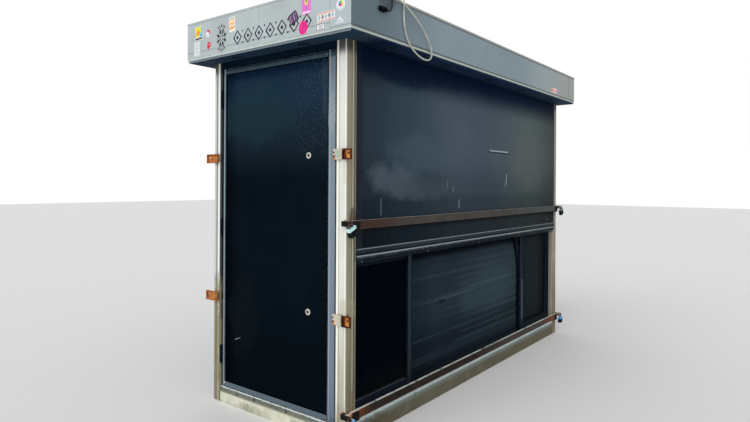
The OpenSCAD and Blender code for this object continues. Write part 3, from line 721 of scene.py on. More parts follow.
POST = Paint(
    "cream_post", "e1e2dc", "d4d5cd", rough=0.48, shine=0.15, mottle_scale=5.0, streaks=0.42,
    streak_colour="98948a", grime=0.75, grime_heights=(0.36, 0.0), grime_colour="857d66",
    bump=0.05, wear=0.35, wear_colour="8f8a7c",
    fades=(
        # The fade along Y below -0.598 is painted shade: the front faces take a darker tan copy of the
        # cream. The last fade, above 2.225, is painted shade under the roof.
        Fade(1, 0.4, 0.5, "c3c8c5"), Fade(1, -0.598, -0.6025, lit("837f6e")),
        shade(2, 0.85, 0.3, "d0cfc0"), Fade(2, 2.225, 2.285, "3c3d3c", 0.92)),
    patches=(
        # Painted light on the flutes: the pale lines at -0.5335, -0.5935, 0.5585 and -1.583 are painted
        # highlights on the ribs and the rounded corner, and the dark lines at 0.5335, 0.577, -1.5955 and
        # -1.572 are painted shade in the grooves and in the gap beside the door.
        stripe(-0.5335, 0.006, "fcfbf0"), stripe(-0.5935, 0.003, "fbfcf2", 0.7),
        stripe(0.5335, 0.011, "05080e", 0.95),
        stripe(0.5585, 0.007, "f4f6f2", softness=0.004),
        stripe(0.577, 0.003, "606a62", softness=0.004),
        cloud(0.575, 0.45, (0.09, 0.42), "80795a", 0.85, 9.0, 0.0),
        stripe(-1.5955, 0.003, lit("5a543f"), 0.6, 1.0), stripe(-1.583, 0.005, lit("b4b7a2"), 0.75, 1.0),
        stripe(-1.572, 0.004, lit("2c2f29"), 0.8, 1.0),
        cloud(-1.585, 1.3, (0.035, 0.06), lit("423c33"), 0.8, 30.0),
        cloud(-1.585, 0.22, (0.035, 0.12), lit("6e5846"), 0.7, 20.0),
        cloud(-0.58, 0.78, (0.03, 0.09), "b5ad8c", 0.45, 20.0, 0.0),
        # Painted shadow: dark spots on the post's front face behind the holes of the trays.
        Patch(-1.6265, 1.674, (0.0105, 0.026), lit("1a100b"), 0.95, 0.002, 0.0),
        Patch(-1.6265, 0.725, (0.0105, 0.026), lit("1a100b"), 0.95, 0.002, 0.0),
        Patch(-0.6, 1.6, (0.02, 0.1), "a98058", 0.16, 0.01, 0.03, 50.0, 0.0),
        Patch(-0.6, 0.63, (0.02, 0.12), "a98058", 0.1, 0.01, 0.03, 50.0, 0.0)))
RAIL = Paint(
    "dark_top_rail", "0d1c2c", "12212f", rough=0.55, shine=0.002, streaks=0.2,
    streak_colour="1c2a36")
CILL = Paint(
    "worn_cill", lit("625e51"), lit("544f42"), rough=0.55, shine=0.02, mottle=0.8, mottle_scale=9.0,
    streaks=0.3, streak_colour=lit("3a3429"), rust=0.14, rust_scale=24.0, ledge=0.9,
    # The pale ledge colour is partly wear and partly a painted highlight on the top.
    ledge_colour=lit("b7c1c0"), bump=0.12,
    fades=(
        # These fades pale the rounded nose towards its top: worn paint and a painted highlight where it
        # faces the sky.
        Fade(2, 0.066, 0.1, lit("6b736c")), Fade(2, 0.098, 0.11, lit("80908f")),
        Fade(2, 0.109, 0.117, lit("c4d0d0"))),
    patches=(
        cloud(-1.45, 0.05, (0.26, 0.06), lit("45402f"), 0.6, 18.0),
        cloud(0.9, 0.04, (0.8, 0.03), lit("5d5a45"), 0.5, 9.0)))
STEP = Paint(
    "cast_step", "dadbca", "c6c7b3", rough=0.85, shine=0.1, mottle=0.9, mottle_scale=11.0,
    specks=0.4, speck_scale=130.0, speck_colour="8c8e78", grime=0.35, grime_heights=(0.03, -0.03),
    grime_colour="7c7a60", bump=0.35, grain_scale=120.0, wear=0.5, wear_colour="dedecf",
    fades=(Fade(2, 0.068, 0.072, "95977f"),),
    patches=(
        cloud(-0.28, 0.03, (0.12, 0.03), "8a8b72", 0.5, 22.0, 0.0),
        cloud(0.2, 0.02, (0.13, 0.03), "8f9078", 0.5, 22.0, 0.0)))
JOIST = Paint("black_joist", "26282a", "1c1e20", rough=0.6, rust=0.25)
FLOOR = Paint(
    "worn_plywood", "9a8568", "7c6a50", rough=0.7, mottle=0.8, mottle_scale=6.0, specks=0.3,
    speck_colour="5c4d3a", streaks=0.2, bump=0.15)
THRESHOLD = Paint(
    "worn_threshold", "696e68", "7d827b", rough=0.5, shine=0.1, mottle=0.8, mottle_scale=12.0,
    wear=0.8, wear_width=0.004, wear_colour="c3cac8", rust=0.1, rust_scale=30.0,
    patches=(Patch(0.0, 0.1055, (3.0, 0.0032), "e9f0f0", 0.95, 0.002, 0.004, 40.0),))
DOOR_FRAME = Paint(
    "door_frame_blue", "081526", "0b182a", rough=0.42, shine=0.002, streaks=0.2,
    streak_colour="12202e", wear=0.3, wear_colour="1e303d")
LEAF = Paint(
    "blue_grey_leaf", "7e8b96", "718391", rough=0.46, shine=0.06, mottle=0.6,
    mottle_scale=6.0, streaks=0.22, streak_colour="8c9ca7", wear=0.4, wear_colour="a7b3ba",
    wear_width=0.003, specks=0.22, speck_scale=110.0, speck_colour="a3b0b8", grime=0.4,
    grime_heights=(0.45, 0.1), grime_colour="55637a",
    fades=(
        # The fade from 2.0 to 2.2 and the two fades above 2.232 are painted shade under the roof, darkest on
        # the top rail.
        Fade(2, 1.6, 0.3, "6e7c90", 0.9), Fade(2, 2.0, 2.2, "63727f"),
        Fade(1, 0.4, 0.484, "647886"), Fade(2, 0.149, 0.145, "5b686a"),
        Fade(2, 2.232, 2.243, "334653"), Fade(2, 2.258, 2.268, "15212f")),
    patches=(
        # Painted light on the stiles: the dark lines at -0.4575, -0.5175 and 0.486 are painted shadow in the
        # gaps beside the panel and the posts, and the pale lines at -0.469 and 0.496 are painted highlights
        # on the stiles' edges.
        stripe(-0.4575, 0.0035, "060b0f", 1.0), stripe(-0.469, 0.003, "a3afb7", 0.6),
        stripe(-0.5175, 0.005, "2a3236", 0.9), stripe(0.496, 0.004, "8fa3ae", 0.8),
        stripe(0.486, 0.0045, "0a131a", 0.95),
        cloud(-0.484, 1.9, (0.03, 0.12), "9aa6ad", 0.5, 30.0, 0.0)))
DOOR_PANEL = Paint(
    "navy_panel", "091118", "0d161e", rough=0.34, shine=0.0, mottle=0.6, mottle_scale=3.0,
    streaks=0.3, streak_colour="121c24", specks=0.5, speck_scale=100.0, speck_colour="15212c",
    fades=(
        # The pale fades from 1.5 to 2.08 are a painted reflection of the sky on the glossy panel, and the
        # fade above 2.15 is painted shade under the roof.
        Fade(2, 1.5, 1.86, "182530"), Fade(2, 1.8, 2.08, "1b2e41"),
        Fade(2, 2.15, 2.225, "0b1c2f"), Fade(2, 0.95, 0.35, "060e14", 0.9),
        shade(1, 0.34, 0.47, "bcbebe")),
    patches=(
        # The pale green cloud at 1.95 is a painted reflection too.
        cloud(0.2, 1.95, (0.4, 0.2), "1d3238", 0.6, 5.0, 0.0),
        cloud(-0.44, 2.06, (0.05, 0.16), "33414c", 0.5, 9.0, 0.0),
        cloud(0.3, 0.62, (0.14, 0.3), "10181e", 0.6, 6.0, 0.0)),
    speck_places=(
        Patch(0.0, 2.05, (0.6, 0.1), "35506a", 0.7, 0.5, 0.06, 8.0, 0.0),
        Patch(-0.3, 1.3, (0.16, 0.6), "1d2a33", 0.6, 0.3, 0.06, 8.0, 0.0),
        Patch(-0.36, 1.98, (0.09, 0.22), "72838d", 0.45, 0.16, 0.08, 8.0, 0.0)))
LOCK = Paint(
    "dull_lock_ring", "d3cfc4", "b5b0a4", rough=0.45, metal=0.1, mottle_scale=40.0, wear=0.5,
    wear_colour="e6e3d8")
HINGE = Paint(
    "dark_hinge", "0a1017", "141c24", rough=0.5, shine=0.01, wear=0.3,
    wear_colour="35424c", rust=0.12)
HASP = Paint(
    "beige_hasp", "cdc4b3", "bdb2a0", rough=0.5, mottle=0.8, mottle_scale=20.0, wear=0.7,
    wear_colour="8a4a22", wear_width=0.003, rust=0.24, rust_scale=34.0,
    patches=(
        Patch(-0.5115, 1.641, (0.01, 0.022), "b5642a", 0.8, 0.006, 0.012, 60.0, 0.0),
        Patch(-0.5115, 0.692, (0.01, 0.022), "b5642a", 0.8, 0.006, 0.012, 60.0, 0.0),
        Patch(-0.545, 1.668, (0.016, 0.018), "9bb5a5", 0.6, 0.008, 0.01, 60.0, 0.0)))
TRAY_HEIGHTS = (0.719, 1.668)
# Painted light inside each tray: a pale spot low inside is a painted highlight where light falls, the dark
# line under its top is painted shade, and the black line at its foot is its painted shadow.
TRAY_LIGHT_AND_SHADE = tuple(
    mark for z in TRAY_HEIGHTS for mark in (
        Patch(-0.625, z - 0.011, (0.010, 0.013), "e6a456", 0.7, 0.005, 0.008, 90.0, 0.0),
        Patch(-0.620, z + 0.0285, (0.032, 0.0035), "54200f", 0.85, 0.002, 0.002, 90.0, 0.0),
        Patch(-0.605, z - 0.0285, (0.034, 0.0035), "160b09", 0.95, 0.002, 0.002, 90.0, 0.0)))
TRAY = Paint(
    "rust_tray", "a8602c", "c98f5c", rough=0.85, shine=0.05, mottle=1.0, mottle_scale=34.0,
    wear=0.95, wear_width=0.005, wear_colour="4f2210", rust=0.5, rust_scale=55.0, specks=0.5,
    speck_scale=170.0, speck_colour="d3b39c", bump=0.35, grain_scale=160.0,
    fades=(Fade(1, -0.6385, -0.6415, "3a150c", 0.9),),
    patches=(
        # Painted shade: the dark-red stripe on the wall by the plate and the black line in the gap between
        # plate and tray.
        stripe(-0.594, 0.0085, "5e2516", 0.85, 0.0, 0.006),
        stripe(-0.588, 0.003, "1b0c09", 1.0), *TRAY_LIGHT_AND_SHADE))
FLAP = Paint(
    "slate_flap", lit("45505b"), lit("3d4954"), rough=0.36, shine=0.004, mottle=0.7, mottle_scale=2.2,
    streaks=0.36, streak_colour=lit("4e5a64"), specks=0.04, speck_scale=70.0, speck_colour=lit("55626a"),
    fades=(
        # The fades along X on this line and the next are a painted reflection of the street on the glossy
        # flap: darker to the left, paler right of the middle, a little darker again at the far right.
        Fade(0, 0.0, 1.0, lit("4b5859")), Fade(0, 0.9, 1.6, lit("3e4346")),
        Fade(0, -0.4, -1.15, lit("2f3f4b")), Fade(0, -1.05, -1.5, lit("28333d")),
        shade(2, 2.05, 2.25, "30598b"), shade(2, 1.78, 1.44, "d6d8da"), shade(2, 1.455, 1.375, "dadcdc"),
        shade(2, 1.29, 1.28, "bdbebe"), Fade(0, -1.505, -1.515, lit("23252f"), 0.8),
        Fade(0, 1.54, 1.546, lit("2c3039"), 0.8)),
    patches=(
        # Painted shadow of the roof, reaching lower on the left.
        cloud(-1.2, 2.26, (0.9, 0.12), lit("061428"), 0.8, 3.0),
        cloud(-1.17, 1.52, (0.25, 0.12), lit("434e58"), 0.9),
        cloud(-0.92, 1.46, (0.34, 0.08), lit("3c474f"), 0.7),
        cloud(-0.85, 1.7, (0.4, 0.13), lit("405059"), 0.5, 4.0),
        cloud(0.95, 1.7, (0.5, 0.22), lit("535457"), 0.5, 3.0),
        # Painted shadow under the upper lock bar.
        Patch(0.0, 1.235, (1.7, 0.012), lit("15191d"), 0.7, 0.03, 0.0),
        Patch(-1.327, 1.36, (0.003, 0.05), lit("66717a"), 0.6, 0.003, 0.006, 30.0),
        Patch(-0.366, 1.354, (0.004, 0.032), lit("76828a"), 0.75, 0.003, 0.006, 30.0),
        Patch(-0.455, 1.462, (0.004, 0.022), lit("67737b"), 0.7, 0.003, 0.008, 30.0),
        Patch(-0.535, 1.5, (0.004, 0.03), lit("5d6971"), 0.6, 0.003, 0.008, 30.0),
        Patch(0.452, 1.539, (0.004, 0.05), lit("8a959b"), 0.75, 0.003, 0.008, 30.0),
        Patch(0.415, 1.5, (0.004, 0.026), lit("737e85"), 0.6, 0.003, 0.008, 30.0),
        Patch(0.31, 1.775, (0.17, 0.004), lit("9aa6ab"), 0.85, 0.002, 0.004, 12.0),
        # The dark line under the pale scratch is its painted shadow.
        Patch(0.31, 1.764, (0.19, 0.005), lit("1d262c"), 0.75, 0.002, 0.004, 12.0)))
FLAP_RAIL = Paint(
    "flap_rail_slate", lit("27313a"), lit("2c363d"), rough=0.42, shine=0.004, streaks=0.3,
    streak_colour=lit("36434c"), wear=0.6, wear_width=0.004, wear_colour=lit("5b6870"), ledge=0.6,
    ledge_colour=lit("5b6870"),
    fades=(
        Fade(0, 0.2, 1.2, lit("30393f")), Fade(0, -0.9, -1.4, lit("1f292e")),
        shade(2, 1.098, 1.09, "a0a6aa")),
    patches=(
        # The pale line at 1.0785 is a painted highlight along the rail's lower edge.
        course(1.12, 0.0035, lit("6c757a"), 0.9), course(1.0785, 0.0025, lit("879194"), 0.9),
        Patch(0.95, 1.12, (0.5, 0.003), lit("625252"), 0.7, 0.002, 0.0)))
FLAP_BACK = Paint("flap_primer", lit("0d1728"), lit("111b2b"), rough=0.6, shine=0.03, streaks=0.2)
COUNTER = Paint(
    "counter_slate", lit("11181e"), lit("182027"), rough=0.38, shine=0.004, streaks=0.3,
    streak_colour=lit("26323a"), wear=0.8, wear_width=0.004, wear_colour=lit("6c777d"), ledge=0.8,
    # The pale ledge colour is a painted highlight along the top of the counter's lip.
    ledge_colour=lit("8a9499"),
    fades=(Fade(0, 0.2, 1.4, lit("20292f")),))
LOW_RAIL = Paint(
    "low_rail_blue", lit("151c28"), lit("1a222e"), rough=0.5, shine=0.003, streaks=0.3,
    streak_colour=lit("26313a"), grime=0.3, grime_heights=(0.2, 0.13), grime_colour=lit("13110e"),
    fades=(Fade(0, 0.0, 1.3, lit("20292f")),))
PANEL_FRAME = Paint(
    "charcoal_frame", lit("0e151d"), lit("121a22"), rough=0.44, shine=0.003, streaks=0.3,
    streak_colour=lit("1d2730"), wear=0.8, wear_colour=lit("3a454e"), grime=0.3,
    grime_heights=(0.3, 0.18), grime_colour=lit("0d0e0c"),
    fades=(Fade(0, 0.906, 0.896, lit("1f2a33")), Fade(2, 0.95, 1.02, lit("10181f"))),
    patches=(
        Patch(-1.27, 0.2345, (0.31, 0.01), lit("030406"), 0.95, 0.002, 0.0),
        Patch(-1.27, 0.2195, (0.31, 0.0042), lit("3c4146"), 0.9, 0.002, 0.0),
        stripe(-0.981, 0.0175, lit("01060c"), 1.0, 1.0),
        # The pale line at 0.884 is a painted highlight on the right frame's bead.
        Patch(0.884, 0.45, (0.005, 0.18), lit("5a666d"), 0.85, 0.004, 0.0, along_x=1.0)))
PANE = Paint(
    "near_black_pane", lit("191f23"), lit("1c2328"), rough=0.3, shine=0.002, streaks=0.3,
    streak_colour=lit("232c32"), grime=0.45, grime_heights=(0.42, 0.2), grime_colour=lit("0e1213"),
    fades=(Fade(0, -0.9, -1.0, lit("01060c")), shade(0, 1.25, 1.4, "b8bcc0")))
JAMB = Paint(
    "jamb_trim", lit("807d73"), lit("949085"), rough=0.5, shine=0.03, streaks=0.5,
    streak_colour=lit("4d463c"), wear=0.4, wear_colour=lit("b2aea2"))
GUIDE = Paint(
    "guide_slate", lit("161f28"), lit("1b252e"), rough=0.42, shine=0.003, streaks=0.35,
    streak_colour=lit("2a353e"), wear=0.6, wear_colour=lit("434f58"), grime=0.4,
    grime_heights=(0.5, 0.15), grime_colour=lit("0d100f"),
    fades=(Fade(2, 0.72, 0.96, lit("070a13")), Fade(0, -0.9, -0.92, lit("0a1219"), 0.7)),
    patches=(
        # The black stripe at 0.838 is painted shade on the right guide's side face, which looks into the
        # opening.
        stripe(-0.944, 0.018, lit("27313a"), 0.9, 1.0), stripe(0.838, 0.01, lit("01050d"), 1.0, 1.0),
        stripe(0.862, 0.012, lit("242d36"), 0.9, 1.0)))
LATHS = 12
LATH_PITCH = 0.053
LATH_GLINTS = tuple(
    cloud(0.25 + 0.35 * math.sin(2.4 * n), 0.31 + LATH_PITCH * n, (0.75, 0.015), lit("333f48"), 0.4, 3.0)
    for n in range(LATHS))
SHUTTER = Paint(
    "shutter_slate", lit("212b35"), lit("25303a"), rough=0.38, shine=0.003, mottle_scale=2.6, streaks=0.4,
    streak_colour=lit("2d3843"), wear=0.2, wear_colour=lit("3a4651"), wear_width=0.003, specks=0.15,
    speck_scale=90.0, speck_colour=lit("3a4650"),
    fades=(
        # The fade from -0.55 to -0.85 is painted shade, darker towards the left end.
        Fade(0, -0.35, 0.35, lit("28333b")), Fade(0, -0.55, -0.85, lit("1b252e")),
        shade(2, 0.62, 0.34, "b8bcc0"), shade(2, 0.945, 0.995, "84888c")),
    patches=(
        cloud(0.3, 0.62, (0.5, 0.2), lit("2f4047"), 0.6, 2.0), *LATH_GLINTS,
        cloud(-0.35, 0.662, (0.42, 0.011), lit("3d4953"), 0.6, 9.0),
        cloud(0.35, 0.7, (0.45, 0.012), lit("414d55"), 0.5, 7.0),
        cloud(-0.49, 0.645, (0.05, 0.016), lit("0b1219"), 0.7, 130.0),
        # The black stripe at 0.838 is painted shadow where the laths run into the right guide.
        course(0.274, 0.024, lit("27313a"), 0.45), stripe(0.838, 0.016, lit("01050d"), 0.95, 1.0, 0.012)))
SHEET = Paint(
    "galvanised_sheet", "8f9496", "7d8284", rough=0.42, metal=0.55, mottle=0.9,
    mottle_scale=26.0)
UPPER_BAR = Paint(
    "upper_bar_rust", lit("454240"), lit("3c3834"), rough=0.62, shine=0.02, mottle=0.8, mottle_scale=9.0,
    # The pale ledge colour on the bar's top is partly a painted highlight.
    rust=0.22, rust_scale=20.0, ledge=0.9, ledge_colour=lit("a39c97"), wear=0.5,
    wear_colour=lit("8d8783"), bump=0.25, streaks=0.3, streak_colour=lit("2b2522"),
    fades=(Fade(0, -0.9, -1.45, lit("3c2a24"), 0.9), Fade(0, 0.3, 1.2, lit("464949"), 0.9)))
LOWER_BAR = Paint(
    "lower_bar_rust", lit("2e2622"), lit("241e19"), rough=0.66, shine=0.02, mottle=0.8, mottle_scale=8.0,
    # The pale ledge colour on the bar's top is partly a painted highlight.
    rust=0.16, rust_scale=18.0, ledge=1.0, ledge_colour=lit("bcbfb6"), wear=0.7,
    wear_colour=lit("8d887a"), bump=0.3, streaks=0.3, streak_colour=lit("16110d"),
    fades=(
        Fade(0, -0.3, 0.7, lit("3f3c39")), Fade(0, 1.1, 1.6, lit("744034"), 0.8),
        Fade(0, -1.4, -1.6, lit("6a3f26"), 0.7)),
    patches=(Patch(-1.6, 0.195, (0.055, 0.012), lit("b0682f"), 0.85, 0.01, 0.02, 30.0),))
STAPLE = Paint(
    "staple_black", lit("14161a"), lit("1e1c19"), rough=0.55, shine=0.02, wear=0.8,
    wear_colour=lit("7a4422"), rust=0.3, rust_scale=40.0)
LOCK_BODY = Paint(
    "black_lock_jacket", lit("0e131a"), lit("161c24"), rough=0.5, shine=0.01, mottle_scale=30.0, wear=0.5,
    wear_colour=lit("3a434b"), ledge=0.4)
LOCK_CAP = Paint(
    "lock_cap_plastic", lit("2a90e6"), lit("2280cc"), rough=0.38, shine=0.06, mottle=0.6,
    mottle_scale=30.0, wear=0.6, wear_colour=lit("9fd0ee"), ledge=0.5, ledge_colour=lit("c9dde6"),
    fades=(Fade(2, 0.69, 0.71, lit("b9dde8")),),
    patches=(Patch(1.6, 1.24, (0.2, 0.2), lit("222a33"), 1.0, 0.01, 0.0),))
STEEL = Paint(
    "worn_shackle_steel", "57524c", "35312e", rough=0.4, metal=0.5, mottle_scale=40.0,
    rust=0.14, rust_scale=60.0)
REAR_PANE = Paint(
    "rear_navy_pane", "121d28", "18242f", rough=0.34, shine=0.05, streaks=0.45,
    streak_colour="2a3843", specks=0.3, speck_scale=95.0, speck_colour="34444f", grime=0.45,
    grime_heights=(0.55, 0.1), grime_colour="191a16",
    # The pale fade towards the top is a painted reflection of the sky.
    fades=(Fade(2, 1.5, 2.2, "203244", 0.9),))
REAR_FRAME = Paint(
    "rear_blue_grey", "7f909e", "728494", rough=0.46, mottle_scale=5.0, streaks=0.5,
    streak_colour="5d6b77", wear=0.6, wear_colour="b9c4ca", grime=0.5,
    grime_heights=(0.5, 0.08), grime_colour="4e5a64")
SOFFIT = Paint(
    "soffit_grey", lit("182538", UNDER_LIGHT), lit("121d2d", UNDER_LIGHT), rough=0.55, shine=0.002,
    mottle=0.8, mottle_scale=6.0, specks=0.15, speck_scale=60.0, speck_colour=lit("2c3743", UNDER_LIGHT),
    fades=(
        Fade(0, -1.2, -1.42, lit("0d182a", UNDER_LIGHT)),
        Fade(0, -1.46, -1.6, lit("202a34", UNDER_LIGHT)),
        Fade(0, -1.615, -1.655, lit("1b2937", UNDER_LIGHT)),
        Fade(0, -1.757, -1.763, lit("5c646a", UNDER_LIGHT)),
        Fade(0, 0.2, 1.5, lit("222d3a", UNDER_LIGHT), 0.8)))
LENS = Paint("dark_lens", "18243a", "212e42", rough=0.18, coat=0.1, mottle_scale=20.0)
FASCIA_FRONT = Paint(
    # Painted shade: its colours are a darker copy of the end boards' silver grey, kept on the front, with
    # the end colour on its returns.
    "fascia_front_grey", lit("7d8b93"), lit("74838b"), rough=0.4, shine=0.02, mottle=0.6,
    mottle_scale=2.0, streaks=0.4, streak_colour=lit("687379"),
    fades=(
        Fade(0, -0.7, -1.72, lit("5c6971")), Fade(0, 0.3, 1.1, lit("8b9799"), 0.9),
        Fade(0, 1.0, 1.5, lit("8f9392")), Fade(1, -0.7385, -0.737, "b1bdc0")),
    patches=(
        cloud(-1.44, 2.56, (0.09, 0.05), lit("3d4347"), 0.7, 14.0), course(2.578, 0.003, lit("4c555a")),
        course(2.357, 0.002, lit("3c4449")),
        Patch(1.606, 2.46, (0.004, 0.13), lit("5c6468"), 0.8, 0.002, 0.0, 10.0)))
FASCIA = Paint(
    "fascia_silver_grey", "b4bfc2", "a8b0ae", rough=0.4, mottle=0.7, mottle_scale=3.4,
    streaks=0.42, streak_colour="939d9f", specks=0.1, speck_scale=80.0, speck_colour="7c8688",
    patches=(course(2.388, 0.003, "8a969a", 0.6),))
TRIM = Paint(
    "trim_weathered", "b1bcbc", "a2acaa", rough=0.45, shine=0.05, mottle=0.9,
    mottle_scale=18.0, streaks=0.5, streak_colour="6c6d66", wear=0.35, wear_colour="dedccb",
    ledge=0.4, ledge_colour="cfccbb",
    fades=(Fade(1, -0.737, -0.7385, lit("888f89")), Fade(1, -0.7395, -0.7405, lit("94948d"))),
    patches=(
        course(2.342, 0.0025, "d2ddd9", 0.55),
        Patch(-0.742, 2.3545, (0.004, 0.0035), lit("3a4245"), 0.85, 0.001, 0.0, along_x=0.0)))
DECK = Paint(
    "roof_sheet", "8a8d8c", "737674", rough=0.55, mottle=0.9, mottle_scale=4.0, specks=0.4,
    speck_scale=50.0, speck_colour="565a52", streaks=0.2, rust=0.12, rust_scale=9.0, bump=0.15)
BLACK_PLASTIC = Paint(
    "black_plastic", lit("0b1015"), lit("14191e"), rough=0.42, shine=0.01, ledge=0.3,
    ledge_colour=lit("3a3f42"), bump=0.05)
LEAD = Paint("black_sheath", "131416", "1d1e20", rough=0.5, mottle_scale=30.0)
LOOP = Paint(
    "pale_sheath", lit("b4b8ac"), lit("969a8e"), rough=0.5, mottle=0.9, mottle_scale=26.0, ledge=0.4,
    ledge_colour=lit("8a8c82"), specks=0.3, speck_colour=lit("5b5c55"))

# Finishes of the small fittings

SCREW = Paint(
    "screw_steel", "9da1a2", "7f8384", rough=0.38, metal=0.8, mottle_scale=60.0, rust=0.12)
SLOT = Paint("screw_recess", "15171a", "0c0d0f", rough=0.7)
RUSTY = Paint(
    "rusty_head", "7a4320", "9c5c2c", rough=0.8, mottle=0.9, mottle_scale=70.0, bump=0.3)
BOLT = Paint(
    "dark_bolt", "17110f", "2c1a14", rough=0.6, shine=0.02, mottle=0.8, mottle_scale=70.0)
WELD = Paint(
    "weld_rust", "5c2c14", "8a4a20", rough=0.75, metal=0.2, mottle=0.9, mottle_scale=90.0,
    bump=0.3)
RUBBER = Paint(
    "black_rubber", "040608", "080b0e", rough=0.7, shine=0.0, mottle_scale=40.0, bump=0.1)
BRASS = Paint("dull_brass", "a38a4e", "7e6a3a", rough=0.35, metal=0.9, mottle_scale=50.0)
WHITE_MARK = Paint(
    "white_scuff", "cfd5d6", "aab2b4", rough=0.7, mottle=0.9, mottle_scale=60.0)
SEALANT = Paint("grey_sealant", "a6a8a4", "8c8e8a", rough=0.6, mottle_scale=30.0, bump=0.2)
BORDER_NAVY = Paint(
    "border_navy", "151d2a", "222b38", rough=0.4, mottle_scale=30.0, streaks=0.15,
    streak_colour="8c9699")
ROSETTE_INK = Paint("rosette_ink", "1c2430", "39424e", rough=0.45, mottle=0.8, mottle_scale=50.0)


# Shapes

# How far a fitting, and a painted or printed film, sinks into the face that carries it
SEAT = 0.0002
FILM_SEAT = 0.0001
# Lower and upper faces of paint, a scratch, a scrape and an open joint's dark line, outwards from their wall
PAINTED = (-0.0001, 0.0003)
SCRATCHED = (-0.0002, 0.0003)
SCRAPED = (-0.0004, 0.0003)
JOINT = (-0.002, 0.0004)
# Least and greatest turn of a screw or a weld blob, in degrees
ANY_TURN = (0, 90)
BEAD_WIDTH = 0.006
# Corners of each side of a box whose corners run along X, then Y, then Z
BOX_SIDES = ((0, 1, 3, 2), (4, 6, 7, 5), (0, 4, 5, 1), (2, 3, 7, 6), (0, 2, 6, 4), (1, 5, 7, 3))
# The radius at which a turned piece ends at its axis
POINT_R = 0.0001
# Turned profiles as shares of a head's radius: radius and height, from the rim up, then the crown's height
SCREW_HEAD = ((1.0, 0.0), (1.0, 0.18), (0.8, 0.4), (0.4, 0.52), (0.0, 0.54))
RIVET_HEAD = ((1.0, 0.0), (0.92, 0.25), (0.6, 0.48), (0.3, 0.54), (0.28, 0.38), (0.0, 0.36))
WASHER = ((1.45, 0.0), (1.45, 0.14), (1.3, 0.22), (0.0, 0.22))
# Turned profiles in metres: radius and height, from the wall outwards
KEY_BARREL = ((0.0085, -0.002), (0.0085, 0.001), (0.0078, 0.0019), (0.0062, 0.0021), (0.0055, 0.0014),
              (POINT_R, 0.0014))
KEY_PLATE = ((0.0092, -0.0002), (0.0092, 0.0010), (0.0084, 0.0016), (POINT_R, 0.0016))
COACH_HEAD = ((0.0052, 0.0), (0.0052, 0.0008), (0.0045, 0.0020), (0.0028, 0.0029), (POINT_R, 0.0033))
COACH_SHANK = ((0.0028, -0.0102), (0.0028, 0.0))
TRAY_BLOB = ((0.0027, -0.0003), (0.0023, 0.0012), (0.0012, 0.0019), (POINT_R, 0.0021))
STAPLE_BLOB = ((0.0024, -0.0002), (0.0021, 0.0011), (0.0011, 0.0018), (POINT_R, 0.0020))
COLLAR = ((0.0064, 0.0), (0.0064, 0.0012), (0.0056, 0.0020), (0.0044, 0.0022))
LIGHT_RIM = ((0.0365, -0.0001), (0.0365, 0.0012), (0.0352, 0.0022), (0.0343, 0.0022), (0.0341, 0.0))
LENS_DOME = ((0.016, -0.0006), (0.016, 0.0012), (0.012, 0.0024), (0.006, 0.0030), (POINT_R, 0.0031))
SEAL_RING = ((0.021, 0.0), (0.020, 0.003), (0.0165, 0.0055), (0.0130, 0.0060))


class Side(Enum):
    """A side of the kiosk: the way it looks, and the way that is right as seen from outside."""

    DOOR_END = ((-1, 0, 0), (0, -1, 0))
    FAR_END = ((1, 0, 0), (0, 1, 0))
    FRONT = ((0, -1, 0), (1, 0, 0))
    REAR = ((0, 1, 0), (-1, 0, 0))
    TOP = ((0, 0, 1), (1, 0, 0))
    UNDER = ((0, 0, -1), (1, 0, 0))


# A side and its sign along Y or X
LONG_SIDES = ((Side.FRONT, -1), (Side.REAR, 1))
END_SIDES = ((Side.DOOR_END, -1), (Side.FAR_END, 1))


def spin(degrees: float, axis: str = "Z") -> Matrix:
    """Returns a turn about one of the axes."""
    return Matrix.Rotation(math.radians(degrees), 4, axis)


def shift(x: float, y: float, z: float) -> Matrix:
    """Returns a move along the three axes."""
    return Matrix.Translation((x, y, z))


def facing(side: Side, at: Point, turn: float = 0.0) -> Matrix:
    """Gives the placing of a flat piece on one side of the kiosk.

    Args:
        side: Where the piece looks.
        at: The piece's own origin, in metres.
        turn: A turn in the plane of the side, in degrees, anticlockwise as seen from outside.

    Returns:
        A matrix whose X runs to the right and Y up as seen from outside, with Z pointing out.
    """
    out, right = (Vector(way) for way in side.value)
    grid = Matrix((right, out.cross(right), out)).transposed().to_4x4()
    return Matrix.Translation(at) @ grid @ spin(turn)


def panel(left: float, low: float, right: float, high: float) -> list[Spot]:
    """Returns a plain four-cornered outline, anticlockwise."""
    return [(left, low), (right, low), (right, high), (left, high)]


def arc(radius: float, start: float, end: float, steps: int, centre: Spot = (0.0, 0.0)) -> list[Spot]:
    """Lists the points of an arc in even steps between two angles in degrees, both ends included."""
    turns = [math.radians(start + (end - start) * n / steps) for n in range(steps + 1)]
    return [(centre[0] + radius * math.cos(t), centre[1] + radius * math.sin(t)) for t in turns]


def rounded(width: float, height: float, corner: float, steps: int = 4) -> list[Spot]:
    """Lists a rectangle's outline with rounded corners, about its centre.

    Args:
        width: Full width.
        height: Full height.
        corner: Corner radius.
        steps: Steps in each corner.

    Returns:
        The outline, anticlockwise.
    """
    x, y = width / 2 - corner, height / 2 - corner
    corners = ((x, y, 0), (-x, y, 90), (-x, -y, 180), (x, -y, 270))
    return [p for cx, cy, a in corners for p in arc(corner, a, a + 90, steps, (cx, cy))]


def ring_walls(rows: int, count: int) -> list[Sequence[int]]:
    """Lists the faces between the rings of a stack.

    Args:
        rows: Number of rings.
        count: Points in each ring.

    Returns:
        The faces, ring by ring.
    """
    faces: list[Sequence[int]] = []
    for row in range(rows - 1):
        for n in range(count):
            a, b = row * count + n, row * count + (n + 1) % count
            faces.append((a, b, b + count, a + count))
    return faces


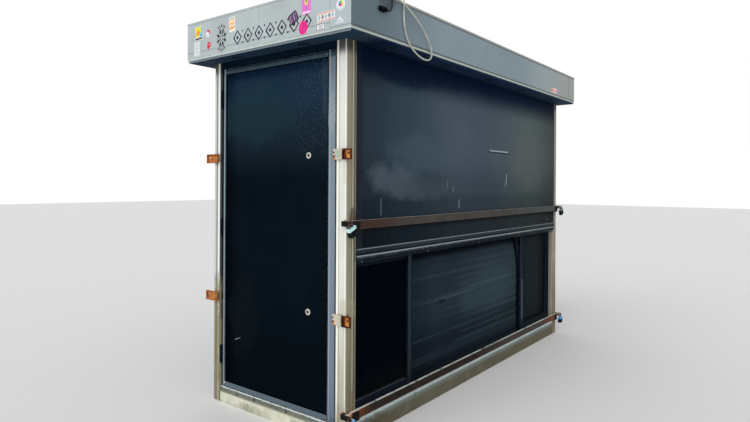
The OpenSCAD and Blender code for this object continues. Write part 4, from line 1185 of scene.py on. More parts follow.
class Shape:
    """Gathers faces for one piece, in metres in the row frame."""

    def __init__(self) -> None:
        """Starts with no faces."""
        self.points: list[Vector] = []
        self.faces: list[tuple[int, ...]] = []
        self.marks: list[int] = []

    def add(self, points: Sequence[Vector], faces: Iterable[Sequence[int]], mark: int = 0) -> None:
        """Adds points and the faces between them.

        Args:
            points: New points.
            faces: Faces as indices into the new points.
            mark: Which of the piece's finishes they take.
        """
        first = len(self.points)
        self.points.extend(points)
        for face in faces:
            self.faces.append(tuple(first + n for n in face))
            self.marks.append(mark)

    def plate(self, outline: Sequence[Spot], place: Matrix, low: float, high: float, mark: int = 0,
              crown: float = 0.0) -> None:
        """Adds a flat plate cut to an outline, whose upper edge may be eased inwards.

        Args:
            outline: The outline, anticlockwise, about the place's origin.
            place: Where it lies.
            low: Its lower face along the place's Z.
            high: Its upper face along the place's Z.
            mark: Which finish it takes.
            crown: How far the top edge is eased in.
        """
        count = len(outline)
        middle = (sum(p[0] for p in outline) / count, sum(p[1] for p in outline) / count)
        reach = max(math.hypot(p[0] - middle[0], p[1] - middle[1]) for p in outline)
        shrink = 1 - crown / reach
        rows = [(1.0, low), (1.0, high - crown), (shrink, high)] if crown else [(1.0, low), (1.0, high)]
        points = [
            place @ Vector((middle[0] + (x - middle[0]) * k, middle[1] + (y - middle[1]) * k, z))
            for k, z in rows
            for x, y in outline
        ]
        ends = [range(count)[::-1], range((len(rows) - 1) * count, len(rows) * count)]
        self.add(points, [*ends, *ring_walls(len(rows), count)], mark)

    def turned(self, profile: Sequence[Spot], place: Matrix, sides: int = 16, mark: int = 0) -> None:
        """Adds a turned piece.

        Args:
            profile: Radius and height pairs from the axis at the bottom to the axis at the top.
            place: Where it stands, with its axis along Z.
            sides: Number of sides.
            mark: Which finish it takes.
        """
        points = []
        for r, z in profile:
            for n in range(sides):
                t = 2 * math.pi * n / sides
                points.append(place @ Vector((r * math.cos(t), r * math.sin(t), z)))
        ends = [range(sides)[::-1], range((len(profile) - 1) * sides, len(profile) * sides)]
        self.add(points, [*ring_walls(len(profile), sides), *ends], mark)

    def ribbon(self, line: Sequence[Spot], width: float, place: Matrix, low: float, high: float,
               mark: int = 0) -> None:
        """Adds a flat strip of even width along a line, such as a brush stroke or a seam.

        Args:
            line: The middle of the strip.
            width: Its width.
            place: Where it lies.
            low: Its lower face along the place's Z.
            high: Its upper face along the place's Z.
            mark: Which finish it takes.
        """
        left, right = [], []
        for n, (x, y) in enumerate(line):
            ax, ay = line[max(n - 1, 0)]
            bx, by = line[min(n + 1, len(line) - 1)]
            size = math.hypot(bx - ax, by - ay) or 1.0
            dx, dy = (bx - ax) / size * width / 2, (by - ay) / size * width / 2
            left.append((x - dy, y + dx))
            right.append((x + dy, y - dx))
        points = [place @ Vector((x, y, z)) for z in (low, high) for x, y in left + right]
        count = len(line)
        up = 2 * count
        faces = []
        for n in range(count - 1):
            a, b, c, d = n, n + 1, count + n + 1, count + n
            faces += [(a, b, c, d), (a + up, d + up, c + up, b + up)]
            faces += [(a, a + up, b + up, b), (d, c, c + up, d + up)]
        faces.append((0, count, 3 * count, 2 * count))
        faces.append((count - 1, 3 * count - 1, 4 * count - 1, 2 * count - 1))
        self.add(points, faces, mark)

    def border(self, width: float, height: float, strip: float, place: Matrix, low: float, high: float,
               mark: int = 0) -> None:
        """Adds a flat four-sided border, such as a bead inside an opening.

        Args:
            width: Its full width.
            height: Its full height.
            strip: The width of its sides.
            place: Where its middle lies.
            low: Its lower face along the place's Z.
            high: Its upper face along the place's Z.
            mark: Which finish it takes.
        """
        flat = []
        for w, h in ((width / 2, height / 2), (width / 2 - strip, height / 2 - strip)):
            flat += panel(-w, -h, w, h)
        points = [place @ Vector((x, y, z)) for z in (low, high) for x, y in flat]
        faces = []
        for n in range(4):
            m = (n + 1) % 4
            faces += [(n, n + 4, m + 4, m), (8 + n, 8 + m, 12 + m, 12 + n)]
            faces += [(n, m, 8 + m, 8 + n), (4 + n, 12 + n, 12 + m, 4 + m)]
        self.add(points, faces, mark)

    def bead(self, side: Side, middle: Point, across: Spot, heights: Spot, depth: float) -> None:
        """Adds the rubber bead inside a framed opening, standing a depth out from the pane."""
        width, height = across[1] - across[0], heights[1] - heights[0]
        self.border(width, height, BEAD_WIDTH, facing(side, middle), 0.0, depth)

    def head(self, profile: Sequence[Spot], radius: float, place: Matrix, sides: int, mark: int) -> None:
        """Adds a fastener's turned head, from a profile that is given for a radius of 1."""
        *rim, crown = [(radius * r, radius * z) for r, z in profile]
        self.turned([*rim, (POINT_R, crown[1])], place, sides, mark)

    def screw(self, place: Matrix, radius: float = 0.004, mark: int = 0, dark: int = 1) -> None:
        """Adds a domed cross-head screw.

        Args:
            place: Where it sits, with Z pointing out.
            radius: Its head's radius.
            mark: The head's finish.
            dark: The finish of the cross.
        """
        self.head(SCREW_HEAD, radius, place, 12, mark)
        for turn in (0, 90):
            cross = rounded(radius * 1.1, radius * 0.26, radius * 0.1, 1)
            self.plate(cross, place @ spin(turn + 20), radius * 0.4, radius * 0.56, dark)

    def bolt(self, place: Matrix, radius: float = 0.008, mark: int = 0) -> None:
        """Adds a hexagon bolt head on its washer, at a place whose Z points out."""
        self.head(WASHER, radius, place, 18, mark)
        self.plate(arc(radius, 0, 300, 5), place, radius * 0.2, radius * 0.85, mark, radius * 0.12)

    def rivet(self, place: Matrix, radius: float = 0.004, mark: int = 0) -> None:
        """Adds a dome-headed rivet at a place whose Z points out."""
        self.head(RIVET_HEAD, radius, place, 12, mark)

    def piece(self, name: str, *finishes: Paint, slot: str, body: str = "kiosk") -> None:
        """Makes the Blender object and sets it riding.

        Args:
            name: The piece's name.
            *finishes: Its finishes, in the order of the marks.
            slot: The record's material slot that it belongs to; not used.
            body: The CAD body that it rides on.
        """
        mesh = bpy.data.meshes.new(name)
        mesh.from_pydata([tuple(p) for p in self.points], [], self.faces)
        for finish in finishes:
            mesh.materials.append(finish.build())
        mesh.polygons.foreach_set("material_index", self.marks)
        grid = bmesh.new()
        grid.from_mesh(mesh)
        bmesh.ops.recalc_face_normals(grid, faces=grid.faces)
        grid.to_mesh(mesh)
        grid.free()
        made = bpy.data.objects.new(name, mesh)
        bpy.context.scene.collection.objects.link(made)
        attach(made, body)
        LOG.info("%s: %d faces on %s", name, len(self.faces), body)


# Sub-assemblies


@dataclass
class Studio:
    """The camera, the floor, the sky and the lamp."""

    eye: Point = (-4.1125, -2.7150, 1.5)
    yaw: float = 37.683
    roll: float = 0.311
    lens: float = 27.494
    shift: float = -0.03621
    sky: float = 0.62
    sun: float = 1.55
    sun_spread: float = 70.0
    sun_from: Point = (-0.86, -0.18, 0.62)
    floor_reach: float = 40.0
    floor_tone: Colour = (0.80, 0.80, 0.80)
    floor_rough: float = 0.9
    floor_shine: float = 0.1

    def place(self, name: str, data: bpy.types.ID) -> bpy.types.Object:
        """Puts a new object into the scene.

        Args:
            name: The object's name.
            data: Its camera, lamp or mesh.

        Returns:
            The object.
        """
        made = bpy.data.objects.new(name, data)
        bpy.context.scene.collection.objects.link(made)
        return made

    def set_camera(self) -> None:
        """Sets the camera where the photograph was taken from."""
        data = bpy.data.cameras.new("camera")
        data.lens = self.lens
        data.shift_y = self.shift
        camera = self.place("camera", data)
        camera.location = self.eye
        turn = (90, -self.roll, self.yaw - 90)
        camera.rotation_euler = [math.radians(angle) for angle in turn]
        bpy.context.scene.camera = camera

    def lay_floor(self) -> None:
        """Lays a pale plain floor."""
        mesh = bpy.data.meshes.new("floor")
        reach = self.floor_reach
        corners = [(x, y, 0.0) for x, y in panel(-reach, -reach, reach, reach)]
        mesh.from_pydata(corners, [], [(0, 1, 2, 3)])
        material = bpy.data.materials.new("floor")
        material.use_nodes = True
        shader = material.node_tree.nodes["Principled BSDF"]
        shader.inputs["Base Color"].default_value = (*self.floor_tone, 1.0)
        shader.inputs["Roughness"].default_value = self.floor_rough
        shader.inputs["Specular IOR Level"].default_value = self.floor_shine
        mesh.materials.append(material)
        self.place("floor", mesh)

    def light(self) -> None:
        """Lights the kiosk evenly, a little stronger on the door's end."""
        world = bpy.data.worlds.new("sky")
        world.use_nodes = True
        g = Graph(world.node_tree)
        back = world.node_tree.nodes["Background"]
        paths = g.add("ShaderNodeLightPath")
        seen = g.math("MAXIMUM", paths.outputs["Is Camera Ray"], paths.outputs["Is Transmission Ray"])
        seen = g.math("MAXIMUM", seen, paths.outputs["Is Glossy Ray"])
        strength = g.plus(g.times(seen, 1.0 - self.sky), self.sky)
        g.feed(back.inputs["Strength"], strength)
        back.inputs["Color"].default_value = (1, 1, 1, 1)
        bpy.context.scene.world = world
        lamp = bpy.data.lights.new("soft_sun", "SUN")
        lamp.energy = self.sun
        lamp.angle = math.radians(self.sun_spread)
        sun = self.place("soft_sun", lamp)
        sun.rotation_euler = Vector(self.sun_from).to_track_quat("Z", "Y").to_euler()

    def build(self) -> None:
        """Sets the camera, the floor and the light."""
        self.set_camera()
        self.lay_floor()
        self.light()
        bpy.context.scene.view_settings.view_transform = "Standard"
        LOG.info("studio: camera, floor and light set")


# The points that the middle of each cable passes
LEAD_ROUTE: tuple[Point, ...] = (
    (-1.462, -0.753, 2.497), (-1.452, -0.753, 2.497), (-1.441, -0.753, 2.500), (-1.431, -0.753, 2.508),
    (-1.423, -0.753, 2.520), (-1.419, -0.753, 2.537), (-1.418, -0.753, 2.558), (-1.420, -0.752, 2.581),
    (-1.424, -0.745, 2.601), (-1.432, -0.730, 2.615), (-1.441, -0.711, 2.620), (-1.449, -0.693, 2.617),
    (-1.456, -0.679, 2.607), (-1.459, -0.671, 2.596), (-1.460, -0.668, 2.586), (-1.460, -0.668, 2.5803))
LOOP_ROUTE: tuple[Point, ...] = (
    (-1.420, -0.662, 2.5803), (-1.419, -0.664, 2.600), (-1.416, -0.669, 2.612), (-1.411, -0.679, 2.622),
    (-1.403, -0.694, 2.629), (-1.394, -0.712, 2.629), (-1.384, -0.730, 2.620), (-1.371, -0.746, 2.605),
    (-1.353, -0.758, 2.588), (-1.329, -0.765, 2.575), (-1.300, -0.768, 2.563), (-1.267, -0.767, 2.551),
    (-1.228, -0.766, 2.535), (-1.187, -0.765, 2.516), (-1.146, -0.764, 2.494), (-1.102, -0.763, 2.466),
    (-1.063, -0.762, 2.433), (-1.028, -0.761, 2.397), (-1.002, -0.760, 2.358), (-0.996, -0.759, 2.320),
    (-1.019, -0.758, 2.292), (-1.060, -0.757, 2.283), (-1.106, -0.756, 2.287), (-1.152, -0.755, 2.299),
    (-1.193, -0.753, 2.319), (-1.230, -0.751, 2.347), (-1.258, -0.749, 2.382), (-1.276, -0.748, 2.422),
    (-1.287, -0.748, 2.465), (-1.292, -0.748, 2.510), (-1.293, -0.748, 2.586), (-1.293, -0.746, 2.602),
    (-1.293, -0.738, 2.616), (-1.293, -0.724, 2.627), (-1.293, -0.706, 2.631), (-1.293, -0.688, 2.628),
    (-1.293, -0.673, 2.618), (-1.293, -0.664, 2.604), (-1.293, -0.662, 2.588), (-1.293, -0.662, 2.5803))


@dataclass
class Cables:
    """The short black lead and the pale loop that hangs over the front board."""

    lead_diameter: float = 0.008
    lead_length: float = 0.244
    loop_diameter: float = 0.010
    loop_length: float = 1.294
    steps_round: int = 5
    steps_along: int = 8

    def curve(self, name: str, node: str, route: Sequence[Point], diameter: float,
              finish: Paint) -> bpy.types.Object:
        """Makes one cable as a smooth curve.

        Args:
            name: The piece's name.
            node: The CAD node that it replaces.
            route: The points that it passes.
            diameter: Its outside diameter.
            finish: Its finish.

        Returns:
            The curve object.
        """
        data = bpy.data.curves.new(name, "CURVE")
        data.dimensions = "3D"
        data.bevel_depth = diameter / 2
        data.bevel_resolution = self.steps_round
        data.resolution_u = self.steps_along
        data.use_fill_caps = True
        spline = data.splines.new("BEZIER")
        spline.bezier_points.add(len(route) - 1)
        for point, place in zip(spline.bezier_points, route):
            point.co = place
            point.handle_left_type = point.handle_right_type = "AUTO"
        data.materials.append(finish.build())
        made = bpy.data.objects.new(name, data)
        bpy.context.scene.collection.objects.link(made)
        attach(made, "kiosk")
        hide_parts(node)
        LOG.info("%s: %d points on kiosk", name, len(route))
        return made

    def build(self) -> None:
        lead = self.curve("lead_sheath", "gland_lead", LEAD_ROUTE, self.lead_diameter, LEAD)
        loop = self.curve("loop_sheath", "cable_loop", LOOP_ROUTE, self.loop_diameter, LOOP)


class SubAssembly:
    """A part of the kiosk: it dresses its own solids and adds their fittings."""

    FINISHES: dict[str, Paint] = {}

    def add_fittings(self) -> None:
        """Adds nothing here; each part adds its own."""

    def dress(self, frame: dict) -> None:
        """Gives the part's solids their finishes.

        Args:
            frame: What the frame loader returned.
        """
        for node, finish in self.FINISHES.items():
            mesh = frame["nodes"][node].data
            mesh.materials.clear()
            mesh.materials.append(finish.build())
            LOG.info("%s: finish %s", node, finish.name)

    def build(self, frame: dict) -> None:
        """Dresses the part and adds its fittings."""
        self.dress(frame)
        self.add_fittings()


@dataclass
class Posts(SubAssembly):
    """The four fluted corner posts and the rails on top of them."""

    outer: Spot = (1.640, 0.605)
    flute_in: float = 0.040
    flute_depth: float = 0.002
    anchor_heights: Spot = (0.045, 0.085)
    anchor_r: float = 0.0045
    anchor_twist: float = 900.0

    FINISHES = {"corner_posts": POST, "top_rails": RAIL}

    def add_fittings(self) -> None:
        """Adds the anchor screws low in the flutes of the long faces."""
        shape = Shape()
        for side_x in (-1, 1):
            x = side_x * (self.outer[0] - self.flute_in)
            for side, sign in LONG_SIDES:
                for z in self.anchor_heights:
                    spot = (x, sign * (self.outer[1] - self.flute_depth), z)
                    shape.screw(facing(side, spot, z * self.anchor_twist), self.anchor_r)
        shape.piece("post_foot_screws", RUSTY, SLOT, slot="corner_posts")


@dataclass
class Base(SubAssembly):
    """The cills, steps, joists, floor and threshold."""

    cill_face: float = 0.603
    cill_joint_z: float = 0.102
    cill_joints: Row = (-0.931, 0.768, 1.263)
    threshold_face: float = 1.640
    threshold_joint_z: float = 0.093
    threshold_joints: Row = (0.360, 0.183, -0.115)
    threshold_screws: Row = (-0.44, -0.15, 0.15, 0.44)
    screw_r: float = 0.0045
    screw_twist: float = 100.0
    scraped: Spot = (-0.50, 0.50)
    lip_end: float = 0.515
    nicks: Row = (-0.357, -0.195, 0.466)

    FINISHES = {
        "front_cill": CILL, "rear_cill": CILL, "door_step": STEP, "far_step": STEP, "floor_joists": JOIST,
        "floor_panel": FLOOR, "door_threshold": THRESHOLD,
    }

    def build_joint_lines(self) -> None:
        """Adds the open joints of the cills and of the threshold."""
        shape = Shape()
        for x in self.cill_joints:
            for side, sign in LONG_SIDES:
                place = facing(side, (x, sign * (self.cill_face - FILM_SEAT), self.cill_joint_z))
                shape.plate(rounded(0.005, 0.034, 0.002, 2), place, *JOINT)
        for y in self.threshold_joints:
            for side, sign in END_SIDES:
                spot = (sign * (self.threshold_face - FILM_SEAT), sign * -y, self.threshold_joint_z)
                line = [(0.0, -0.016), (0.001, -0.005), (-0.0005, 0.006), (0.0005, 0.016)]
                shape.ribbon(line, 0.004, facing(side, spot), *JOINT)
        shape.piece("base_joint_lines", SLOT, slot="front_cill")

    def build_threshold_marks(self) -> None:
        """Adds the screws of the threshold and the scraped white marks on its lip."""
        low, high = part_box("door_threshold")
        face_x = low.x + SEAT
        shape = Shape()
        for y in self.threshold_screws:
            shape.screw(facing(Side.TOP, (-1.60, y, high.z - SEAT), y * self.screw_twist), self.screw_r)
        marks = Shape()
        place = facing(Side.DOOR_END, (face_x, 0.0, high.z - 0.008))
        draw = random.Random(11)
        y, last = self.scraped
        while y < last:
            length = draw.uniform(0.015, 0.09)
            drop = draw.uniform(-0.0015, 0.0015)
            line = [(y, drop), (y + length * 0.5, drop + 0.0008), (min(y + length, self.lip_end), drop)]
            marks.ribbon(line, draw.uniform(0.0015, 0.0035), place, *SCRAPED)
            y += length + draw.uniform(0.01, 0.05)
        for y in self.nicks:
            nick = facing(Side.DOOR_END, (face_x, -y, high.z - 0.012), 8)
            marks.plate(rounded(0.004, 0.012, 0.0015, 2), nick, *SCRAPED)
        shape.piece("threshold_screws", SCREW, SLOT, slot="door_threshold")
        marks.piece("threshold_scrapes", WHITE_MARK, slot="door_threshold")

    def add_fittings(self) -> None:
        """Adds the joint lines, the screws and the scrapes."""
        self.build_joint_lines()
        self.build_threshold_marks()


@dataclass
class DoorEnd(SubAssembly):
    """The hinged door with its locks, hinges, hasps and the steel trays on the posts."""

    face_x: float = -1.638
    panel_x: float = -1.633
    opening_y: Spot = (-0.456, 0.482)
    opening_z: Spot = (0.147, 2.242)
    bead_depth: float = 0.0035
    frame_screw_r: float = 0.0042
    stile_screws: Row = (0.50, 0.98, 1.42, 1.92)
    lock_y: float = -0.297
    lock_heights: Spot = (0.728, 1.668)
    lock_depth: float = 0.0012
    hasp_heights: Spot = (0.719, 1.668)
    hasp_face_x: float = -1.6505
    bolt_y: float = -0.5115
    bolt_rise: float = 0.012
    bolt_turn: float = 15.0
    weld_x: float = -1.6402
    weld_lines: Row = (-0.6035, -0.5855, 0.5855, 0.6035)
    weld_blobs: int = 15
    weld_drop: float = 0.0215
    weld_pitch: float = 0.00305
    scratch_at: Spot = (0.355, 0.459)
    chip_at: Spot = (0.489, 0.140)
    hinge_heights: Row = (0.330, 1.200, 2.070)
    hinge_screws_x: Spot = (-1.628, -1.610)
    hinge_face_y: float = 0.5088
    hinge_screw_r: float = 0.0035
    hinge_twist: float = 900.0

    FINISHES = {
        "door_frame": DOOR_FRAME, "door_leaf_frame": LEAF, "door_panel": DOOR_PANEL, "door_locks": LOCK,
        "door_hinge_leaves": HINGE, "door_hinge_posts": HINGE, "door_hasps": HASP, "hasp_boxes": TRAY,
        "rear_brackets": TRAY,
    }

    def build_panel_bead(self) -> None:
        """Adds the rubber bead round the door's panel."""
        shape = Shape()
        middle = (self.panel_x, sum(self.opening_y) / 2, sum(self.opening_z) / 2)
        shape.bead(Side.DOOR_END, middle, self.opening_y, self.opening_z, self.bead_depth)
        shape.piece("door_panel_bead", RUBBER, slot="door_panel", body="door")

    def build_screws(self) -> None:
        """Adds the screws at the corners of the door's frame and down its lock stile."""
        shape = Shape()
        draw = random.Random(5)
        right, left = self.opening_y[0] - 0.008, self.opening_y[1] + 0.010
        low, high = self.opening_z
        spots = [(right + 0.014, high + 0.015), (right - 0.004, high - 0.003), (left - 0.012, high + 0.015),
                 (left, high - 0.012), (right + 0.014, low - 0.013), (right - 0.004, low + 0.012),
                 (left - 0.012, low - 0.013), (left, low + 0.012)]
        spots += [(right - 0.022, z) for z in self.stile_screws]
        for y, z in spots:
            place = facing(Side.DOOR_END, (self.face_x + SEAT, y, z), draw.uniform(*ANY_TURN))
            shape.screw(place, self.frame_screw_r)
        shape.piece("door_frame_screws", SCREW, SLOT, slot="door_leaf_frame", body="door")

    def build_locks(self) -> None:
        """Adds the key barrels inside the lock rings."""
        shape = Shape()
        for z in self.lock_heights:
            place = facing(Side.DOOR_END, (self.face_x + self.lock_depth, self.lock_y, z))
            shape.turned(KEY_BARREL, place, 20)
            shape.plate(rounded(0.0017, 0.0075, 0.0006, 2), place, 0.0013, 0.0018, 1)
        shape.piece("lock_barrels", SLOT, BRASS, slot="door_locks", body="door")

    def build_hasp_bolts(self) -> None:
        """Adds the coach bolts that hold the hasp plates, with their rust."""
        shape = Shape()
        for z in self.hasp_heights:
            for side in (-1, 1):
                spot = (self.hasp_face_x + SEAT, self.bolt_y, z + side * self.bolt_rise)
                place = facing(Side.DOOR_END, spot, side * self.bolt_turn)
                shape.turned(COACH_HEAD, place, 16)
                shape.turned(COACH_SHANK, place, 10)
        shape.piece("hasp_bolts", BOLT, slot="door_hasps", body="door")

    def build_tray_welds(self) -> None:
        """Adds the weld beads where the steel trays stand on the posts."""
        shape = Shape()
        draw = random.Random(8)
        for z in self.hasp_heights:
            for y in self.weld_lines:
                for n in range(self.weld_blobs):
                    spot = (self.weld_x, y, z - self.weld_drop + n * self.weld_pitch)
                    shape.turned(TRAY_BLOB, facing(Side.DOOR_END, spot, draw.uniform(*ANY_TURN)), 8)
        shape.piece("tray_welds", WELD, slot="hasp_boxes")

    def build_marks(self) -> None:
        """Adds the scratch and the chip that show on the door."""
        shape = Shape()
        place = facing(Side.DOOR_END, (self.panel_x + FILM_SEAT, *self.scratch_at), 23)
        scratch = [(-0.030, 0.0), (-0.008, 0.0015), (0.010, 0.0), (0.028, -0.002)]
        shape.ribbon(scratch, 0.0018, place, *SCRATCHED)
        place = facing(Side.DOOR_END, (self.face_x + FILM_SEAT, *self.chip_at), 10)
        chip = [(-0.006, -0.005), (0.004, -0.006), (0.007, 0.0), (0.003, 0.006), (-0.005, 0.004)]
        shape.plate(chip, place, *SCRATCHED)
        shape.piece("door_scratches", WHITE_MARK, slot="door_panel", body="door")

    def build_hinge_screws(self) -> None:
        """Adds the screws in the leaves of the hinges, on the door's edge."""
        shape = Shape()
        for z in self.hinge_heights:
            for x in self.hinge_screws_x:
                place = facing(Side.REAR, (x, self.hinge_face_y, z), x * self.hinge_twist)
                shape.screw(place, self.hinge_screw_r)
        shape.piece("hinge_screws", SCREW, SLOT, slot="door_hinge_leaves", body="door")

    def add_fittings(self) -> None:
        """Adds the bead, the screws, the key barrels, the bolts, the welds and the marks."""
        self.build_panel_bead()
        self.build_screws()
        self.build_locks()
        self.build_hasp_bolts()
        self.build_tray_welds()
        self.build_marks()
        self.build_hinge_screws()


@dataclass
class ServingFlap(SubAssembly):
    """The large closed flap over the counter, its bottom rail and the counter's lip."""

    face_y: float = -0.610
    rail_y: float = -0.615
    rail_top: float = 1.122
    left: float = -1.557
    right: float = 1.566
    bottom: float = 1.074
    top: float = 2.312
    rivet_r: float = 0.0032
    rivet_gaps: int = 8
    end_margin: float = 0.03
    top_margin: float = 0.022
    rail_margin: float = 0.014
    side_margin: float = 0.014
    side_rivets: Row = (1.34, 1.58, 1.82, 2.06)
    bright_studs: tuple[Spot, ...] = ((1.385, 1.157), (1.362, 1.113))
    dark_studs: tuple[Spot, ...] = ((-1.506, 1.103), (-1.478, 1.096))
    stud_r: float = 0.0055
    lip_y: float = -0.6168
    lip_screws: Row = (-1.517, -0.80, -0.05, 0.70, 1.42)
    lip_screw_z: float = 1.046
    lip_screw_r: float = 0.0038
    lip_twist: float = 70.0

    FINISHES = {
        "flap_skin": FLAP, "flap_bottom_rail": FLAP_RAIL, "flap_frame": FLAP_BACK, "flap_hinge": FLAP_BACK,
        "counter_rail": COUNTER,
    }

    def build_rivets(self) -> None:
        """Adds the rivets along the flap's edges."""
        shape = Shape()
        length = self.right - self.left - 2 * self.end_margin
        spots = []
        for n in range(self.rivet_gaps + 1):
            x = self.left + self.end_margin + n * length / self.rivet_gaps
            spots.append((x, self.face_y, self.top - self.top_margin))
            spots.append((x, self.rail_y, self.bottom + self.rail_margin))
        for z in self.side_rivets:
            for x in (self.left + self.side_margin, self.right - self.side_margin):
                spots.append((x, self.face_y, z))
        for x, y, z in spots:
            shape.rivet(facing(Side.FRONT, (x, y + SEAT, z)), self.rivet_r)
        shape.piece("flap_rivets", FLAP, slot="flap_skin")

    def build_studs(self) -> None:
        """Adds the stop studs low at both ends, the bright ones and the painted ones."""
        shape = Shape()
        for mark, spots in enumerate((self.bright_studs, self.dark_studs)):
            for x, z in spots:
                y = self.face_y if z > self.rail_top else self.rail_y
                shape.rivet(facing(Side.FRONT, (x, y + SEAT, z)), self.stud_r, mark)
        shape.piece("flap_stop_studs", SCREW, FLAP_RAIL, slot="flap_skin")

    def build_counter_screws(self) -> None:
        """Adds the screws under the counter's lip."""
        shape = Shape()
        for x in self.lip_screws:
            place = facing(Side.FRONT, (x, self.lip_y, self.lip_screw_z), x * self.lip_twist)
            shape.screw(place, self.lip_screw_r)
        shape.piece("counter_screws", SCREW, SLOT, slot="counter_rail")

    def add_fittings(self) -> None:
        """Adds the rivets, the studs and the counter's screws."""
        self.build_rivets()
        self.build_studs()
        self.build_counter_screws()


@dataclass
class RollerFront(SubAssembly):
    """The lower front: side panels, guides and the roller shutter between them."""

    pane_y: float = -0.555
    openings: tuple[tuple[Spot, Spot], ...] = (((-1.538, -0.985), (0.237, 1.008)),
                                               ((0.950, 1.452), (0.241, 1.012)))
    bead_depth: float = 0.004
    screw_r: float = 0.0038
    guide_inset: float = 0.010
    guide_screws: Row = (0.30, 0.55, 0.80, 0.98)
    frame_screws: tuple[Spot, ...] = ((0.905, -0.571), (0.930, -0.565), (1.475, -0.565), (1.530, -0.565))
    frame_screw_heights: Spot = (0.228, 1.02)
    chips: tuple[Point, ...] = ((-1.432, 0.975, 20), (-1.281, 0.971, 70))

    FINISHES = {
        "front_lower_rails": LOW_RAIL, "front_panel_frames": PANEL_FRAME, "front_panes": PANE,
        "jamb_trims": JAMB, "shutter_guides": GUIDE, "shutter_laths": SHUTTER,
        "shutter_bottom_bar": SHUTTER, "shutter_roll": SHUTTER, "shutter_box": SHEET,
    }

    def build_beads(self) -> None:
        """Adds the rubber beads round both panes."""
        shape = Shape()
        for across, heights in self.openings:
            middle = (sum(across) / 2, self.pane_y, sum(heights) / 2)
            shape.bead(Side.FRONT, middle, across, heights, self.bead_depth)
        shape.piece("front_pane_beads", RUBBER, slot="front_panes")

    def build_screws(self) -> None:
        """Adds the screws of the guides, the rails and the panel frames."""
        shape = Shape()
        draw = random.Random(3)
        low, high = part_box("shutter_guides")
        guides = (low.x + self.guide_inset, high.x - self.guide_inset)
        spots = [(x, low.y, z) for x in guides for z in self.guide_screws]
        spots += [(x, y, z) for x, y in self.frame_screws for z in self.frame_screw_heights]
        for x, y, z in spots:
            shape.screw(facing(Side.FRONT, (x, y + SEAT, z), draw.uniform(*ANY_TURN)), self.screw_r)
        shape.piece("front_screws", GUIDE, SLOT, slot="shutter_guides")

    def build_marks(self) -> None:
        """Adds the pale chips on the left pane."""
        shape = Shape()
        for x, z, turn in self.chips:
            place = facing(Side.FRONT, (x, self.pane_y + FILM_SEAT, z), turn)
            chip = [(-0.004, -0.003), (0.005, -0.002), (0.004, 0.003), (-0.003, 0.004)]
            shape.plate(chip, place, *SCRATCHED)
        shape.piece("left_pane_chips", GUIDE, slot="front_panes")

    def add_fittings(self) -> None:
        """Adds the beads, the screws and the chips."""
        self.build_beads()
        self.build_screws()
        self.build_marks()


